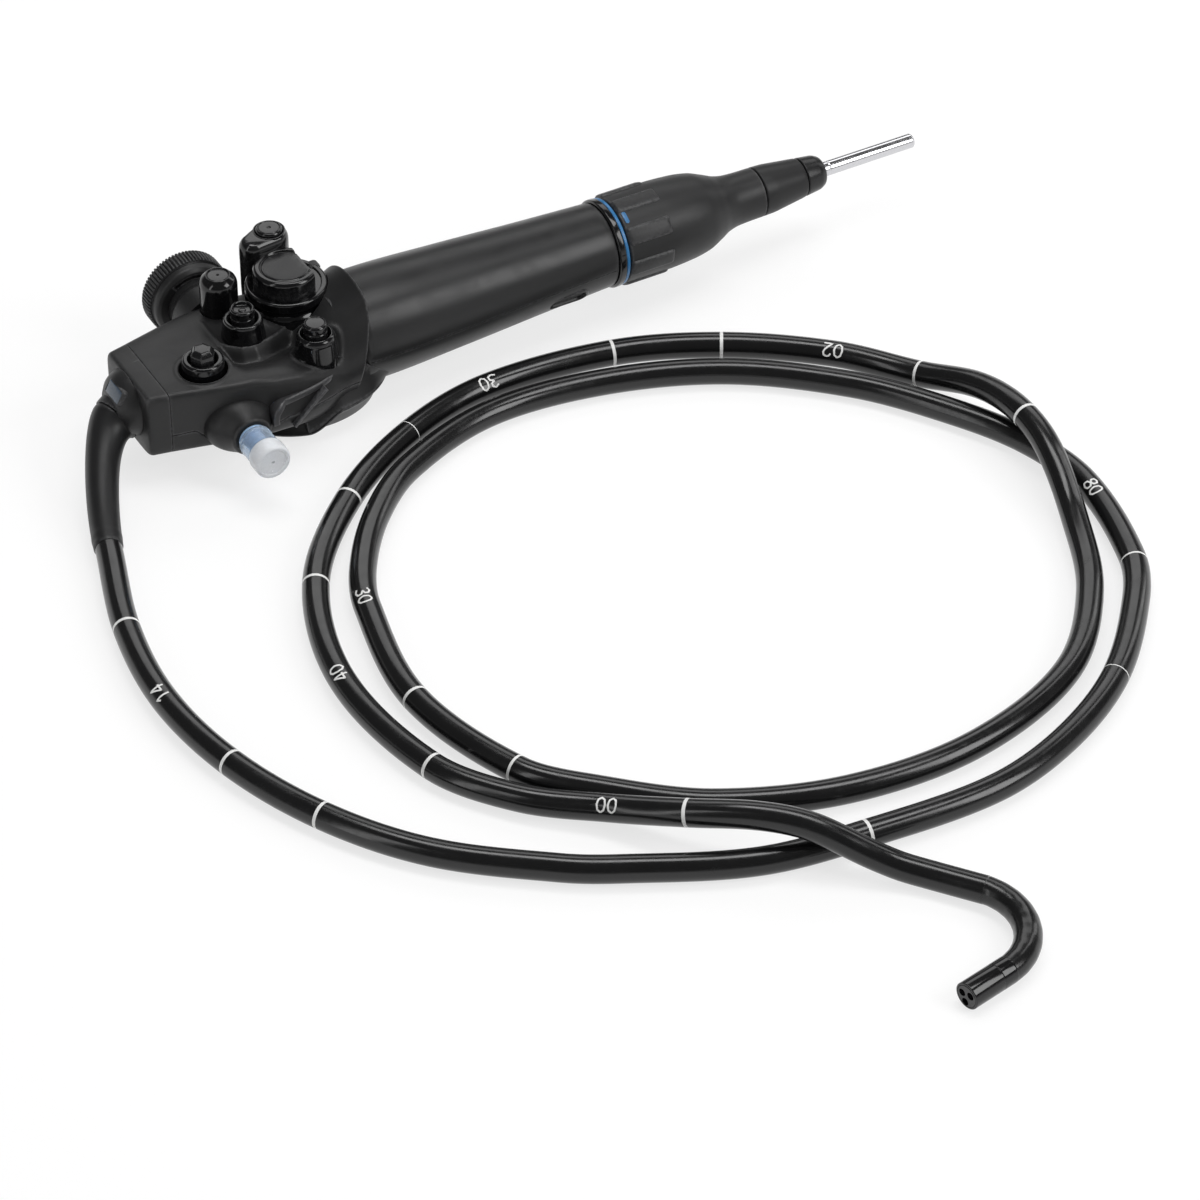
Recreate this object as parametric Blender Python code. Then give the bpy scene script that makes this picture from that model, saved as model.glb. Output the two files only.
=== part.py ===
"""Flexible endoscope: a hand control with its buttons, wheel and light pin, and a looped insertion tube.

All sizes are in metres, written as millimetres times MM. The handle runs along +X from the head's
end cap to the tip of the light pin, +Z is up, and the table is at zero. Places on the handle are
measured from a datum under the end cap's outer face, on the handle's axis.
"""
import math

import bmesh
import bpy
from mathutils import Vector

MM = 0.001
GAP = 0.3 * MM                     # clearance between touching pieces

DATUM = (-146.9 * MM, -0.5 * MM, 0.0)
AXIS_Z = 26 * MM                   # handle axis above the table

END_RADIUS_MM = 23.7               # the head's round end, over the grip
# Head housing. Each station: x, half width, top and bottom from the axis, squareness of the section,
# and how far the top falls towards the near edge, all lengths in millimetres.
HEAD_STATIONS = (
    (0.0, 17.2, 12.0, -15.0, 9.0, 0.0),
    (8.0, 19.0, 12.1, -15.0, 9.0, 0.0),
    (18.0, 21.8, 12.2, -15.1, 8.0, 0.0),
    (28.0, 24.6, 12.3, -15.3, 7.0, 0.0),
    (38.0, 26.8, 12.5, -15.7, 6.0, 0.0),
    (47.0, 28.2, 13.0, -16.6, 5.0, 1.5),
    (55.0, 28.2, 13.6, -18.0, 4.2, 2.5),
    (62.0, 27.2, 14.5, -20.0, 3.4, 3.0),
    (68.0, 25.8, 16.5, -22.0, 2.8, 3.0),
    (73.0, 24.4, 19.0, -23.3, 2.3, 2.0),
    (77.0, END_RADIUS_MM, END_RADIUS_MM - 2.4, -END_RADIUS_MM, 2.1, 0.0),
    (82.0, END_RADIUS_MM, END_RADIUS_MM - 0.2, -END_RADIUS_MM, 2.0, 0.0),
    (87.0, END_RADIUS_MM, END_RADIUS_MM, -END_RADIUS_MM, 2.0, 0.0),
)
LEAN_START_X = 77 * MM             # from here on the sections lean, fully so at the end of the shells
HEAD_END_X = 87 * MM
END_LEAN = 0.22                    # forward for each unit of height
NEAR_SWEEP = (0.3, 12 * MM)        # backwards for each unit of width past this distance on the near side
HEAD_WALL = 2.0 * MM
HEAD_POINTS = 44
CAP_LENGTH = 8 * MM
CAP_CHAMFER = 1.4 * MM
PARTING_DROP = 7 * MM              # parting line below the axis
DENTS = (                          # soft hollows in the top: x, y, reach along x and y, depth
    (65 * MM, -18 * MM, 11 * MM, 10 * MM, 5.0 * MM),
    (66 * MM, -3 * MM, 9 * MM, 9 * MM, 5.5 * MM),
    (50 * MM, 3 * MM, 9 * MM, 8 * MM, 2.5 * MM),
)
TOP_RISE = 12 * MM                 # flat top above the axis

# Cable gland, window and boot on the end cap.
GLAND_RADIUS = 12 * MM
GLAND_REACH = 7 * MM
GLAND_BORE = 6.5 * MM
NECK_RADIUS = 9.2 * MM
BOOT_START = (-6.6 * MM, -1.4 * MM, 18.6 * MM)
BOOT_END = (-32.2 * MM, -49.2 * MM, 5.8 * MM)
BOOT_START_AIM = (-0.75, -0.3, -0.6)
BOOT_END_AIM = (-0.3, -0.95, -0.02)
BOOT_PULL = 15 * MM
BOOT_END_RADIUS = 5.3 * MM
WINDOW_SIZE = (1.6 * MM, 9.6 * MM, 4.8 * MM)
WINDOW_AT = (-5.2 * MM, -0.8 * MM, AXIS_Z + 7.0 * MM)
WINDOW_LEAN = math.radians(28)

# Push buttons: place on the head.
HEX_AT = (25.5 * MM, -10.5 * MM)
RING_AT = (47.0 * MM, 0.6 * MM)
DOME_AT = (46.5 * MM, 19.0 * MM)
FRONT_AT = (67.7 * MM, -16.1 * MM)
FRONT_DROP = 4.0 * MM              # how much lower the near button stands than the ring button
BUTTON_RADIUS = 4.45 * MM
SLEEVE_BORE = BUTTON_RADIUS + 0.4 * MM
SLEEVE_RADIUS = 7.0 * MM
WELL_RADIUS = 9.0 * MM
DOME_RADIUS = 7.0 * MM

# Suction valve, with its elbow.
VALVE_AT = (71.0 * MM, 13.5 * MM)
VALVE_BASE_RADIUS = 14.0 * MM
VALVE_RING_RADIUS = 15.1 * MM
VALVE_CAP_RADIUS = 12.1 * MM
VALVE_CUT_X = VALVE_AT[0] + 7.0 * MM     # flat on the cap's right side
COLUMN_AT = (65.5 * MM, 28.5 * MM)
ARM_END_AT = (73.3 * MM, 30.9 * MM)
COLUMN_RADIUS = 5.2 * MM
ARM_RADIUS = 7.0 * MM
SUCTION_RADIUS = 5.0 * MM
# Clip behind the valve: its size, and its low corner.
CLIP_SIZE = (5.5 * MM, 5.5 * MM, 8.0 * MM)
CLIP_AT = (VALVE_AT[0] + VALVE_RING_RADIUS - 3.6 * MM, VALVE_AT[1] + 1.5 * MM, AXIS_Z + 11 * MM)

# Angulation wheel on the head's far side, turning about +Y.
WHEEL_AT = (45.5 * MM, AXIS_Z + 2 * MM)
WHEEL_RADIUS = 16.4 * MM
WHEEL_INNER_Y = 42.6 * MM
WHEEL_WIDTH = 7.6 * MM
WHEEL_FLUTES = 34
FLUTE_DEPTH = 0.45 * MM
HUB_RADIUS = 12.0 * MM
SHAFT_RADIUS = 4.0 * MM
BRAKE_RADIUS = 15.2 * MM
BRAKE_WIDTH = 3.6 * MM
SLOT_RADIUS = BRAKE_RADIUS - 4.2 * MM      # arc slot in the brake's face
SLOT_WIDTH = 1.3 * MM
SLOT_DEPTH = 1.6 * MM

# Channel port, pointing along -Y.
PORT_AT = (32.5 * MM, AXIS_Z - 5.5 * MM)
PORT_FACE_Y = -34.3 * MM
PORT_RADIUS = 7.2 * MM
CHANNEL_BORE = 1.9 * MM
CAP_SKIRT_RADIUS = 6.5 * MM
CAP_TOP_RADIUS = 6.9 * MM
CAP_SKIRT = 9.4 * MM
CAP_LENGTH_TOTAL = 15.8 * MM

# Plate and circuit board inside the head.
CHASSIS_DROP = 12 * MM             # its underside below the axis
CHASSIS_LENGTH = 58 * MM
CHASSIS_WIDTH = 28 * MM
CHASSIS_THICKNESS = 2.4 * MM
BOARD_LENGTH = 17 * MM
BOARD_THICKNESS = 1.6 * MM

# Foot under the head.
FOOT_AT = (71 * MM, 1 * MM)
FOOT_POINTS = 44
FOOT_RIM = ((50, 4.0), (60, 4.0), (74, 11.0), (90, 11.5), (103, 13.5))     # x and height of the rim, mm
# Sections of the foot: half length, half width, height, and share of the rim's height added to it, mm.
FOOT_SECTIONS = (
    (30.2, 23.2, 0.0, 0.0), (31.0, 24.0, 1.0, 0.0), (31.6, 26.0, -0.9, 1.0), (31.4, 25.8, 0.0, 1.0),
    (28.6, 23.4, 2.4, 1.0), (26.8, 22.0, 6.0, 1.0), (26.0, 21.4, 13.0, 1.0),
)

# Grip, collar, sleeves and light pin, all turned about the axis: x and radius.
GRIP_START = 83 * MM
GRIP_END = 193.5 * MM
GRIP_WALL = 2.0 * MM
GRIP_START_RADIUS = END_RADIUS_MM * MM - HEAD_WALL - 0.7 * MM
GRIP_MIDDLE = ((0.42, 19.6 * MM), (0.74, 17.6 * MM))     # share of the length, radius
GRIP_END_RADIUS = 16.2 * MM
VENT_AT = 172 * MM
VENT_ANGLE = math.radians(209)
VENT_SIZE = (14.5 * MM, 5.0 * MM)
VENT_DEPTH = 0.9 * MM              # how far the vent's face lies under the grip's
RING_START = GRIP_END + GAP
RING_LENGTH = 1.9 * MM
RING_RADIUS = 17.1 * MM
INDEX_LENGTH = 1.8 * MM
INDEX_RADIUS = 16.9 * MM
COLLAR_START = RING_START + RING_LENGTH + INDEX_LENGTH + 2 * GAP
COLLAR_PROFILE = (
    (0.0, 16.7), (1.0, 17.2), (19.0, 17.0), (30.0, 16.4), (37.0, 15.3),
    (43.0, 13.0), (47.5, 11.0), (52.0, 10.0), (63.3, 9.6),
)
COLLAR_WALL = 1.8 * MM
PAD_COUNT = 8
PAD_LENGTH = 18 * MM
PAD_RISE = 0.8 * MM
PAD_STEPS = (0.02, 0.2, 0.38, 0.56)     # points across a pad, as shares of the pitch
GROOVE_STEPS = (0.62, 0.94)
CORE_RADIUS = 7.4 * MM
CORE_START = GRIP_END - 13.5 * MM
SLEEVE_ONE_END = 281 * MM
SLEEVE_TWO_END = 290.5 * MM
PIN_END = 331 * MM
PIN_RADIUS = 2.85 * MM
PIN_START = CORE_START + 4 * MM
PIN_BORE = 1.5 * MM

# Insertion tube, its bending end and the rigid tip.
TUBE_DIAMETER = 9.8 * MM
TUBE_Z = TUBE_DIAMETER / 2 + 0.05 * MM
TUBE_STEP = 27 * MM
LAST_STRAIGHT = 8 * MM             # the tube's last stretch, square to the bending end
LINK_COUNT = 9
LINK_PITCH = 5.0 * MM
LINK_BEND = math.radians(-12.44)   # resting angle of each joint, turning right along the tube
LINK_RADIUS = 4.6 * MM
LINK_BORE = 2.8 * MM
BEVEL_INSIDE = math.tan(math.radians(12.3))
BEVEL_OUTSIDE = math.tan(math.radians(5.6))
TIP_RADIUS = 4.85 * MM
TIP_LENGTH = 18 * MM
BEND_START = (142.1 * MM, -347.6 * MM)
BEND_AIM = math.radians(-56.6)

# The tube's centre line from the boot to the bending end: x, y and height above the resting height.
ROUTE = (
    (-45.0, -90.6, 0), (-49.8, -130.8, 0), (-44.5, -170.6, 0), (-29.7, -209.3, 0), (-7.1, -242.2, 0),
    (26.4, -270.0, 0), (43.0, -280.0, 0), (84.9, -299.5, 0), (123.4, -305.5, 0), (172.0, -307.5, 0),
    (206.5, -298.1, 0), (239.0, -279.2, 0), (267.4, -249.4, 0), (279.5, -229.0, 0), (288.4, -185.8, 0),
    (283.0, -155.0, 0), (268.0, -126.0, 0), (245.7, -96.0, 0), (209.5, -66.5, 0), (166.3, -49.8, 0),
    (121.7, -46.0, 0), (81.7, -59.6, 0), (58.9, -78.0, 0), (41.6, -101.0, 0), (32.9, -121.0, 0),
    (24.7, -171.7, 0), (37.8, -221.3, 0), (56.6, -243.2, 0), (86.3, -267.6, 0), (129.3, -283.9, 0),
    (178.1, -285.6, 0), (225.6, -269.2, 0), (256.5, -237.0, 0),
    (273.4, -200.8, 2.0), (280.6, -172.0, 10.4), (282.0, -150.0, 12.0), (279.5, -128.0, 8.5),
    (270.0, -103.9, 1.0), (250.1, -77.3, 0), (216.6, -52.1, 0), (178.4, -36.1, 0), (128.5, -31.4, 0),
    (90.6, -42.0, 0), (54.2, -65.1, 0), (22.7, -101.6, 0), (7.4, -151.8, 0), (13.4, -205.2, 0),
    (30.9, -233.9, 0.5), (53.5, -255.0, 2.5), (70.8, -275.7, 9.0), (88.5, -292.5, 13.0),
    (101.0, -304.5, 12.4), (115.8, -318.4, 4.5), (123.1, -325.3, 1.3), (130.0, -332.3, 0),
)

SLOTS = {
    "shell": ((0.035, 0.035, 0.037), 0.52, 0.0),
    "gloss": ((0.008, 0.008, 0.009), 0.16, 0.0),
    "tube": ((0.012, 0.012, 0.013), 0.26, 0.0),
    "rubber": ((0.028, 0.028, 0.029), 0.58, 0.0),
    "steel": ((0.72, 0.72, 0.74), 0.18, 1.0),
    "inner": ((0.32, 0.33, 0.35), 0.4, 1.0),
    "blue": ((0.02, 0.27, 0.75), 0.35, 0.0),
    "clear": ((0.82, 0.86, 0.94), 0.3, 0.0),
    "window": ((0.12, 0.19, 0.27), 0.2, 0.0),
    "glass": ((0.02, 0.02, 0.03), 0.05, 0.0),
    "board": ((0.02, 0.16, 0.07), 0.5, 0.0),
}


def make_materials():
    for name, (colour, roughness, metallic) in SLOTS.items():
        made = bpy.data.materials.new(name)
        made.use_nodes = True
        shader = made.node_tree.nodes["Principled BSDF"]
        shader.inputs["Base Color"].default_value = (*colour, 1.0)
        shader.inputs["Roughness"].default_value = roughness
        shader.inputs["Metallic"].default_value = metallic
        made.diffuse_color = (*colour, 1.0)


def empty(name, at, parent=None):
    made = bpy.data.objects.new(name, None)
    bpy.context.scene.collection.objects.link(made)
    made.location = at
    made.parent = parent
    return made


def skin(name, rings, slot, closed=False, at=(0, 0, 0), turn=(0, 0, 0), parent=None):
    """One body from a run of rings with equal counts: capped at both ends, or closed back onto itself."""
    shape = bmesh.new()
    loops = [[shape.verts.new(point) for point in ring] for ring in rings]
    pairs = list(zip(loops, loops[1:]))
    if closed:
        pairs.append((loops[-1], loops[0]))
    else:
        shape.faces.new(loops[0])
        shape.faces.new(loops[-1])
    for one, two in pairs:
        for k in range(len(one)):
            after = (k + 1) % len(one)
            shape.faces.new((one[k], one[after], two[after], two[k]))
    bmesh.ops.recalc_face_normals(shape, faces=shape.faces)
    return place(name, shape, slot, at, turn, parent)


def place(name, shape, slot, at, turn, parent):
    mesh = bpy.data.meshes.new(name)
    shape.to_mesh(mesh)
    shape.free()
    mesh.shade_smooth()
    mesh.set_sharp_from_angle(angle=math.radians(32))
    mesh.materials.append(bpy.data.materials[slot])
    made = bpy.data.objects.new(name, mesh)
    bpy.context.scene.collection.objects.link(made)
    made.location = at
    made.rotation_euler = turn
    made.parent = parent or bpy.data.objects["datum"]
    return made


def circle(radius, height, sides, centre=(0, 0), squash=1.0):
    steps = [2 * math.pi * k / sides for k in range(sides)]
    return [(centre[0] + radius * math.cos(a), centre[1] + radius * squash * math.sin(a),
             height) for a in steps]


def turned(name, profile, slot, sides=32, hollow=False, **where):
    """A piece turned about its own Z from radius and height pairs. A hollow profile closes on itself."""
    rings = [circle(radius, height, sides) for radius, height in profile]
    return skin(name, rings, slot, closed=hollow, **where)


def block(name, low, high, slot, **where):
    rings = [[(low[0], low[1], z), (high[0], low[1], z), (high[0], high[1], z), (low[0], high[1], z)]
             for z in (low[2], high[2])]
    return skin(name, rings, slot, **where)


def along_x(x, z=AXIS_Z, y=0.0):
    return {"at": (x, y, z), "turn": (0, math.pi / 2, 0)}


def cutter(made):
    made.hide_render = True
    made.display_type = "WIRE"
    return made


def boolean(target, other, operation="DIFFERENCE"):
    step = target.modifiers.new(other.name, "BOOLEAN")
    step.operation = operation
    step.solver = "EXACT"
    step.object = cutter(other)


def head_ring(x, station, grow):
    """The head's section at x, grown outwards by a distance, with the hollows pressed into its top."""
    half, top, bottom = station[1] * MM + grow, station[2] * MM + grow, station[3] * MM - grow
    power, drop = station[4], station[5] * MM
    lean = min(1.0, max(0.0, (x - LEAN_START_X) / (HEAD_END_X - LEAN_START_X)))
    middle = (top + bottom) / 2
    ring = []
    for k in range(HEAD_POINTS):
        angle = 2 * math.pi * (k + 0.5) / HEAD_POINTS
        c, s = math.cos(angle), math.sin(angle)
        reach = (abs(c) ** power + abs(s) ** power) ** (-1 / power)
        y, z = half * reach * c, middle + (top - middle) * reach * s
        forward = END_LEAN * z - NEAR_SWEEP[0] * max(0.0, -y - NEAR_SWEEP[1])
        if z > 0:
            sunk = drop * (max(0.0, -y) / half) ** 1.3
            for dent_x, dent_y, reach_x, reach_y, depth in DENTS:
                sunk += depth * math.exp(-((x - dent_x) / reach_x) ** 2 - ((y - dent_y) / reach_y) ** 2)
            z -= sunk * min(1.0, z / (0.8 * top))
        ring.append((x + lean * forward, y, AXIS_Z + z))
    return ring


def head_rings(grow, start, end):
    """Rings from start to the leaning end, which is moved along by end."""
    rings = [head_ring(s[0] * MM, s, grow) for s in HEAD_STATIONS[:-1] if s[0] * MM > start]
    last = head_ring(HEAD_END_X + end, HEAD_STATIONS[-1], grow)
    return [head_ring(start, station_at(start), grow)] + rings + [last]


def station_at(x):
    """The head's station at x, read between its neighbours."""
    if x <= 0:
        return HEAD_STATIONS[0]
    for one, two in zip(HEAD_STATIONS, HEAD_STATIONS[1:]):
        if one[0] * MM <= x <= two[0] * MM:
            share = (x / MM - one[0]) / (two[0] - one[0])
            return tuple(a + (b - a) * share for a, b in zip(one, two))
    return HEAD_STATIONS[-1]


def head_keepout(name):
    """The space that the head fills, with clearance, for cutting pieces that lie against it."""
    inside = head_ring(HEAD_END_X + 2 * GAP, HEAD_STATIONS[-1], -HEAD_WALL - GAP)
    return skin(name, head_rings(GAP, -4 * MM, 2 * GAP) + [inside], "shell")


def make_head():
    start = CAP_LENGTH + GAP
    outer = head_rings(0, start, 0)
    inner = head_rings(-HEAD_WALL, start, 0)
    split = AXIS_Z - PARTING_DROP
    upper = skin("upper_shell", outer + inner[::-1], "shell", closed=True)
    lower = skin("lower_shell", outer + inner[::-1], "shell", closed=True)
    boolean(upper, block("below_split", (-20 * MM, -60 * MM, -30 * MM),
                         (120 * MM, 60 * MM, split + GAP / 2), "shell"))
    boolean(lower, block("above_split", (-20 * MM, -60 * MM, split - GAP / 2), (120 * MM, 60 * MM, 90 * MM),
                         "shell"))
    openings = (("well_cut", WELL_RADIUS, HEX_AT, 5 * MM),
                ("dome_cut", DOME_RADIUS + 0.4 * MM, DOME_AT, 5 * MM),
                ("valve_cut", VALVE_RING_RADIUS + GAP, VALVE_AT, -2 * MM))
    for name, radius, at, low in openings:
        boolean(upper, turned(name, [(radius, low), (radius, 40 * MM)], "shell", 32, at=(*at, AXIS_Z)))
    hub = turned("hub_cut", [(HUB_RADIUS + GAP, 0), (HUB_RADIUS + GAP, 30 * MM)], "shell", 28,
                 at=(WHEEL_AT[0], 22 * MM, WHEEL_AT[1]), turn=(-math.pi / 2, 0, 0))
    port = turned("port_cut", [(CHANNEL_BORE + 1.4 * MM, 0), (CHANNEL_BORE + 1.4 * MM, 20 * MM)], "shell",
                  20,
                  at=(PORT_AT[0], -15 * MM, PORT_AT[1]), turn=(math.pi / 2, 0, 0))
    for shell in (upper, lower):
        boolean(shell, hub)
        boolean(shell, port)
    make_end_cap()


def make_end_cap():
    """A cup that closes the head, with a round hole for the gland."""
    angles = [2 * math.pi * (k + 0.5) / HEAD_POINTS for k in range(HEAD_POINTS)]

    def hole(x):
        return [(x, GLAND_BORE * math.cos(a), AXIS_Z + GLAND_BORE * math.sin(a)) for a in angles]
    floor = 2.6 * MM
    end = station_at(CAP_LENGTH)
    rings = [
        hole(0), head_ring(0, station_at(0), -CAP_CHAMFER),
        head_ring(CAP_CHAMFER, station_at(CAP_CHAMFER), 0),
        head_ring(CAP_LENGTH, end, 0), head_ring(CAP_LENGTH, end, -HEAD_WALL),
        head_ring(floor, station_at(floor), -HEAD_WALL), hole(floor),
    ]
    skin("head_end_cap", rings, "shell", closed=True)


def bezier(one, aim_one, two, aim_two, pull, share):
    a, d = Vector(one), Vector(two)
    b, c = a + Vector(aim_one).normalized() * pull, d - Vector(aim_two).normalized() * pull
    rest = 1 - share
    return a * rest ** 3 + b * 3 * rest ** 2 * share + c * 3 * rest * share ** 2 + d * share ** 3


def swept(name, points, radii, slot, ends=(None, None), sides=20):
    """A round solid along a run of points, its rings square to the path or to a given end direction."""
    rings = []
    last = len(points) - 1
    for k, point in enumerate(points):
        given = {0: ends[0], last: ends[1]}.get(k)
        aim = Vector(given) if given else points[min(k + 1, last)] - points[max(k - 1, 0)]
        aim.normalize()
        side = aim.cross(Vector((0, 0, 1))).normalized()
        lift = side.cross(aim)
        rings.append([point + radii[k] * (side * math.cos(a) + lift * math.sin(a))
                      for a in (2 * math.pi * n / sides for n in range(sides))])
    return skin(name, rings, slot)


def gland_profile(grow):
    steps = ((GLAND_RADIUS, 0), (GLAND_RADIUS, 1.8 * MM), (GLAND_RADIUS - 0.8 * MM, 3.6 * MM),
             (GLAND_RADIUS - 2.6 * MM, 5.6 * MM), (GLAND_RADIUS - 5 * MM, GLAND_REACH))
    return [(radius + grow, height + grow) for radius, height in steps]


def make_gland():
    facing = {"at": (0, 0, AXIS_Z), "turn": (0, -math.pi / 2, 0)}
    plug = GLAND_BORE - GAP
    profile = [(plug, -4 * MM), (plug, GAP), (GLAND_RADIUS, GAP)] + gland_profile(0)[1:]
    gland = turned("gland_body", profile, "shell", 28, **facing)
    aim = Vector(BOOT_START_AIM).normalized()
    end = Vector(BOOT_START)
    neck = swept("gland_neck", [end - aim * 8 * MM, end - aim * 4 * MM, end - aim * GAP], [NECK_RADIUS] * 3,
                 "shell")
    boolean(neck, block("neck_trim", (-1.2 * MM, -20 * MM, 0), (20 * MM, 20 * MM, 50 * MM), "shell"))
    boolean(gland, neck, "UNION")
    outward = Vector((-math.cos(WINDOW_LEAN), 0, math.sin(WINDOW_LEAN)))
    depth, width, height = WINDOW_SIZE
    pocket = (3 * MM, width / 2 + GAP, height / 2 + GAP)
    boolean(gland, block("window_cut", [-side for side in pocket], pocket, "shell",
                         at=Vector(WINDOW_AT) + outward * pocket[0], turn=(0, WINDOW_LEAN, 0)))
    shape = (depth / 2, width / 2, height / 2)
    block("gland_window", [-side for side in shape], shape, "window",
          at=Vector(WINDOW_AT) + outward * (depth / 2 + GAP), turn=(0, WINDOW_LEAN, 0))
    shares = [k / 12 for k in range(13)]
    path = [bezier(BOOT_START, BOOT_START_AIM, BOOT_END, BOOT_END_AIM, BOOT_PULL, s) for s in shares]
    radii = [NECK_RADIUS + (BOOT_END_RADIUS - NECK_RADIUS) * s ** 0.8 for s in shares]
    boot = swept("tube_boot", path, radii, "rubber", (BOOT_START_AIM, BOOT_END_AIM))
    boolean(boot, turned("boot_cut", [(GLAND_RADIUS, -2 * MM)] + gland_profile(GAP), "rubber", 28,
                         **facing))


def make_buttons():
    top = AXIS_Z + TOP_RISE
    hex_flange = WELL_RADIUS + 0.8 * MM
    seat = top - HEAD_WALL - 1.5 * MM
    turned("hex_sleeve", [(SLEEVE_BORE, seat - 3.4 * MM), (hex_flange, seat - 3.4 * MM),
                          (hex_flange, seat - 0.4 * MM),
                          (SLEEVE_RADIUS + 0.5 * MM, seat - 0.4 * MM),
                          (SLEEVE_RADIUS + 0.5 * MM, top + 4.4 * MM),
                          (SLEEVE_RADIUS, top + 5 * MM), (SLEEVE_BORE + 0.6 * MM, top + 5 * MM),
                          (SLEEVE_BORE, top + 4 * MM)], "gloss", 28, hollow=True, at=(*HEX_AT, 0))
    turned("hex_button", [(BUTTON_RADIUS, top - 2 * MM), (BUTTON_RADIUS, top + 8 * MM),
                          (BUTTON_RADIUS - 1.1 * MM, top + 9.2 * MM)], "gloss", 6, at=(*HEX_AT, 0))
    ring = turned("ring_sleeve", [(SLEEVE_RADIUS + 1 * MM, top - 4 * MM),
                                  (SLEEVE_RADIUS + 1 * MM, top + 1 * MM),
                                  (SLEEVE_RADIUS, top + 5 * MM), (SLEEVE_RADIUS, top + 7.4 * MM),
                                  (SLEEVE_RADIUS - 0.8 * MM, top + 8 * MM), (SLEEVE_BORE, top + 8 * MM),
                                  (SLEEVE_BORE, top + 2.2 * MM)], "gloss", 28, at=(*RING_AT, 0))
    boolean(ring, head_keepout("ring_keepout"))
    turned("ring_button", [(BUTTON_RADIUS, top + 5.5 * MM), (BUTTON_RADIUS, top + 12.1 * MM),
                           (BUTTON_RADIUS - 0.4 * MM, top + 12.5 * MM),
                           (BUTTON_RADIUS - 1 * MM, top + 12.5 * MM),
                           (BUTTON_RADIUS - 1.2 * MM, top + 11.7 * MM), (0.9 * MM, top + 11.5 * MM)],
           "gloss", 24, at=(*RING_AT, 0))
    top -= FRONT_DROP
    front = turned("front_sleeve", [(SLEEVE_RADIUS + 0.8 * MM, top - 10 * MM),
                                    (SLEEVE_RADIUS + 0.5 * MM, top - 1 * MM),
                                    (SLEEVE_RADIUS - 0.5 * MM, top + 7.5 * MM),
                                    (SLEEVE_RADIUS - 1.2 * MM, top + 8.5 * MM),
                                    (SLEEVE_BORE, top + 8.5 * MM), (SLEEVE_BORE, top + 3 * MM)],
                   "gloss", 28, at=(*FRONT_AT, 0))
    boolean(front, head_keepout("front_keepout"))
    turned("front_button", [(BUTTON_RADIUS, top + 6 * MM), (BUTTON_RADIUS, top + 12.6 * MM),
                            (BUTTON_RADIUS - 0.5 * MM, top + 13 * MM)], "gloss", 24, at=(*FRONT_AT, 0))
    top += FRONT_DROP
    turned("dome_button", [(DOME_RADIUS - 1.4 * MM, top - 2.5 * MM), (DOME_RADIUS, top - 2.5 * MM),
                           (DOME_RADIUS, top + 12.2 * MM), (DOME_RADIUS - 0.6 * MM, top + 13.6 * MM),
                           (DOME_RADIUS - 2.2 * MM, top + 15.2 * MM),
                           (DOME_RADIUS - 2.7 * MM, top + 15.4 * MM),
                           (DOME_RADIUS - 2.9 * MM, top + 14.9 * MM), (0.4 * MM, top + 15.2 * MM),
                           (0.4 * MM, top + 13 * MM), (DOME_RADIUS - 1.4 * MM, top + 12.5 * MM)],
           "gloss", 28, hollow=True, at=(*DOME_AT, 0))


def pill(one, two, radius_one, radius_two, height, steps=11):
    """Outline of two arcs about two centres, joined by straight sides."""
    heading = math.atan2(two[1] - one[1], two[0] - one[0])
    points = []
    for centre, radius, start in ((two, radius_two, heading - math.pi / 2),
                                  (one, radius_one, heading + math.pi / 2)):
        for k in range(steps + 1):
            angle = start + math.pi * k / steps
            points.append((centre[0] + radius * math.cos(angle), centre[1] + radius * math.sin(angle),
                           height))
    return points


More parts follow.
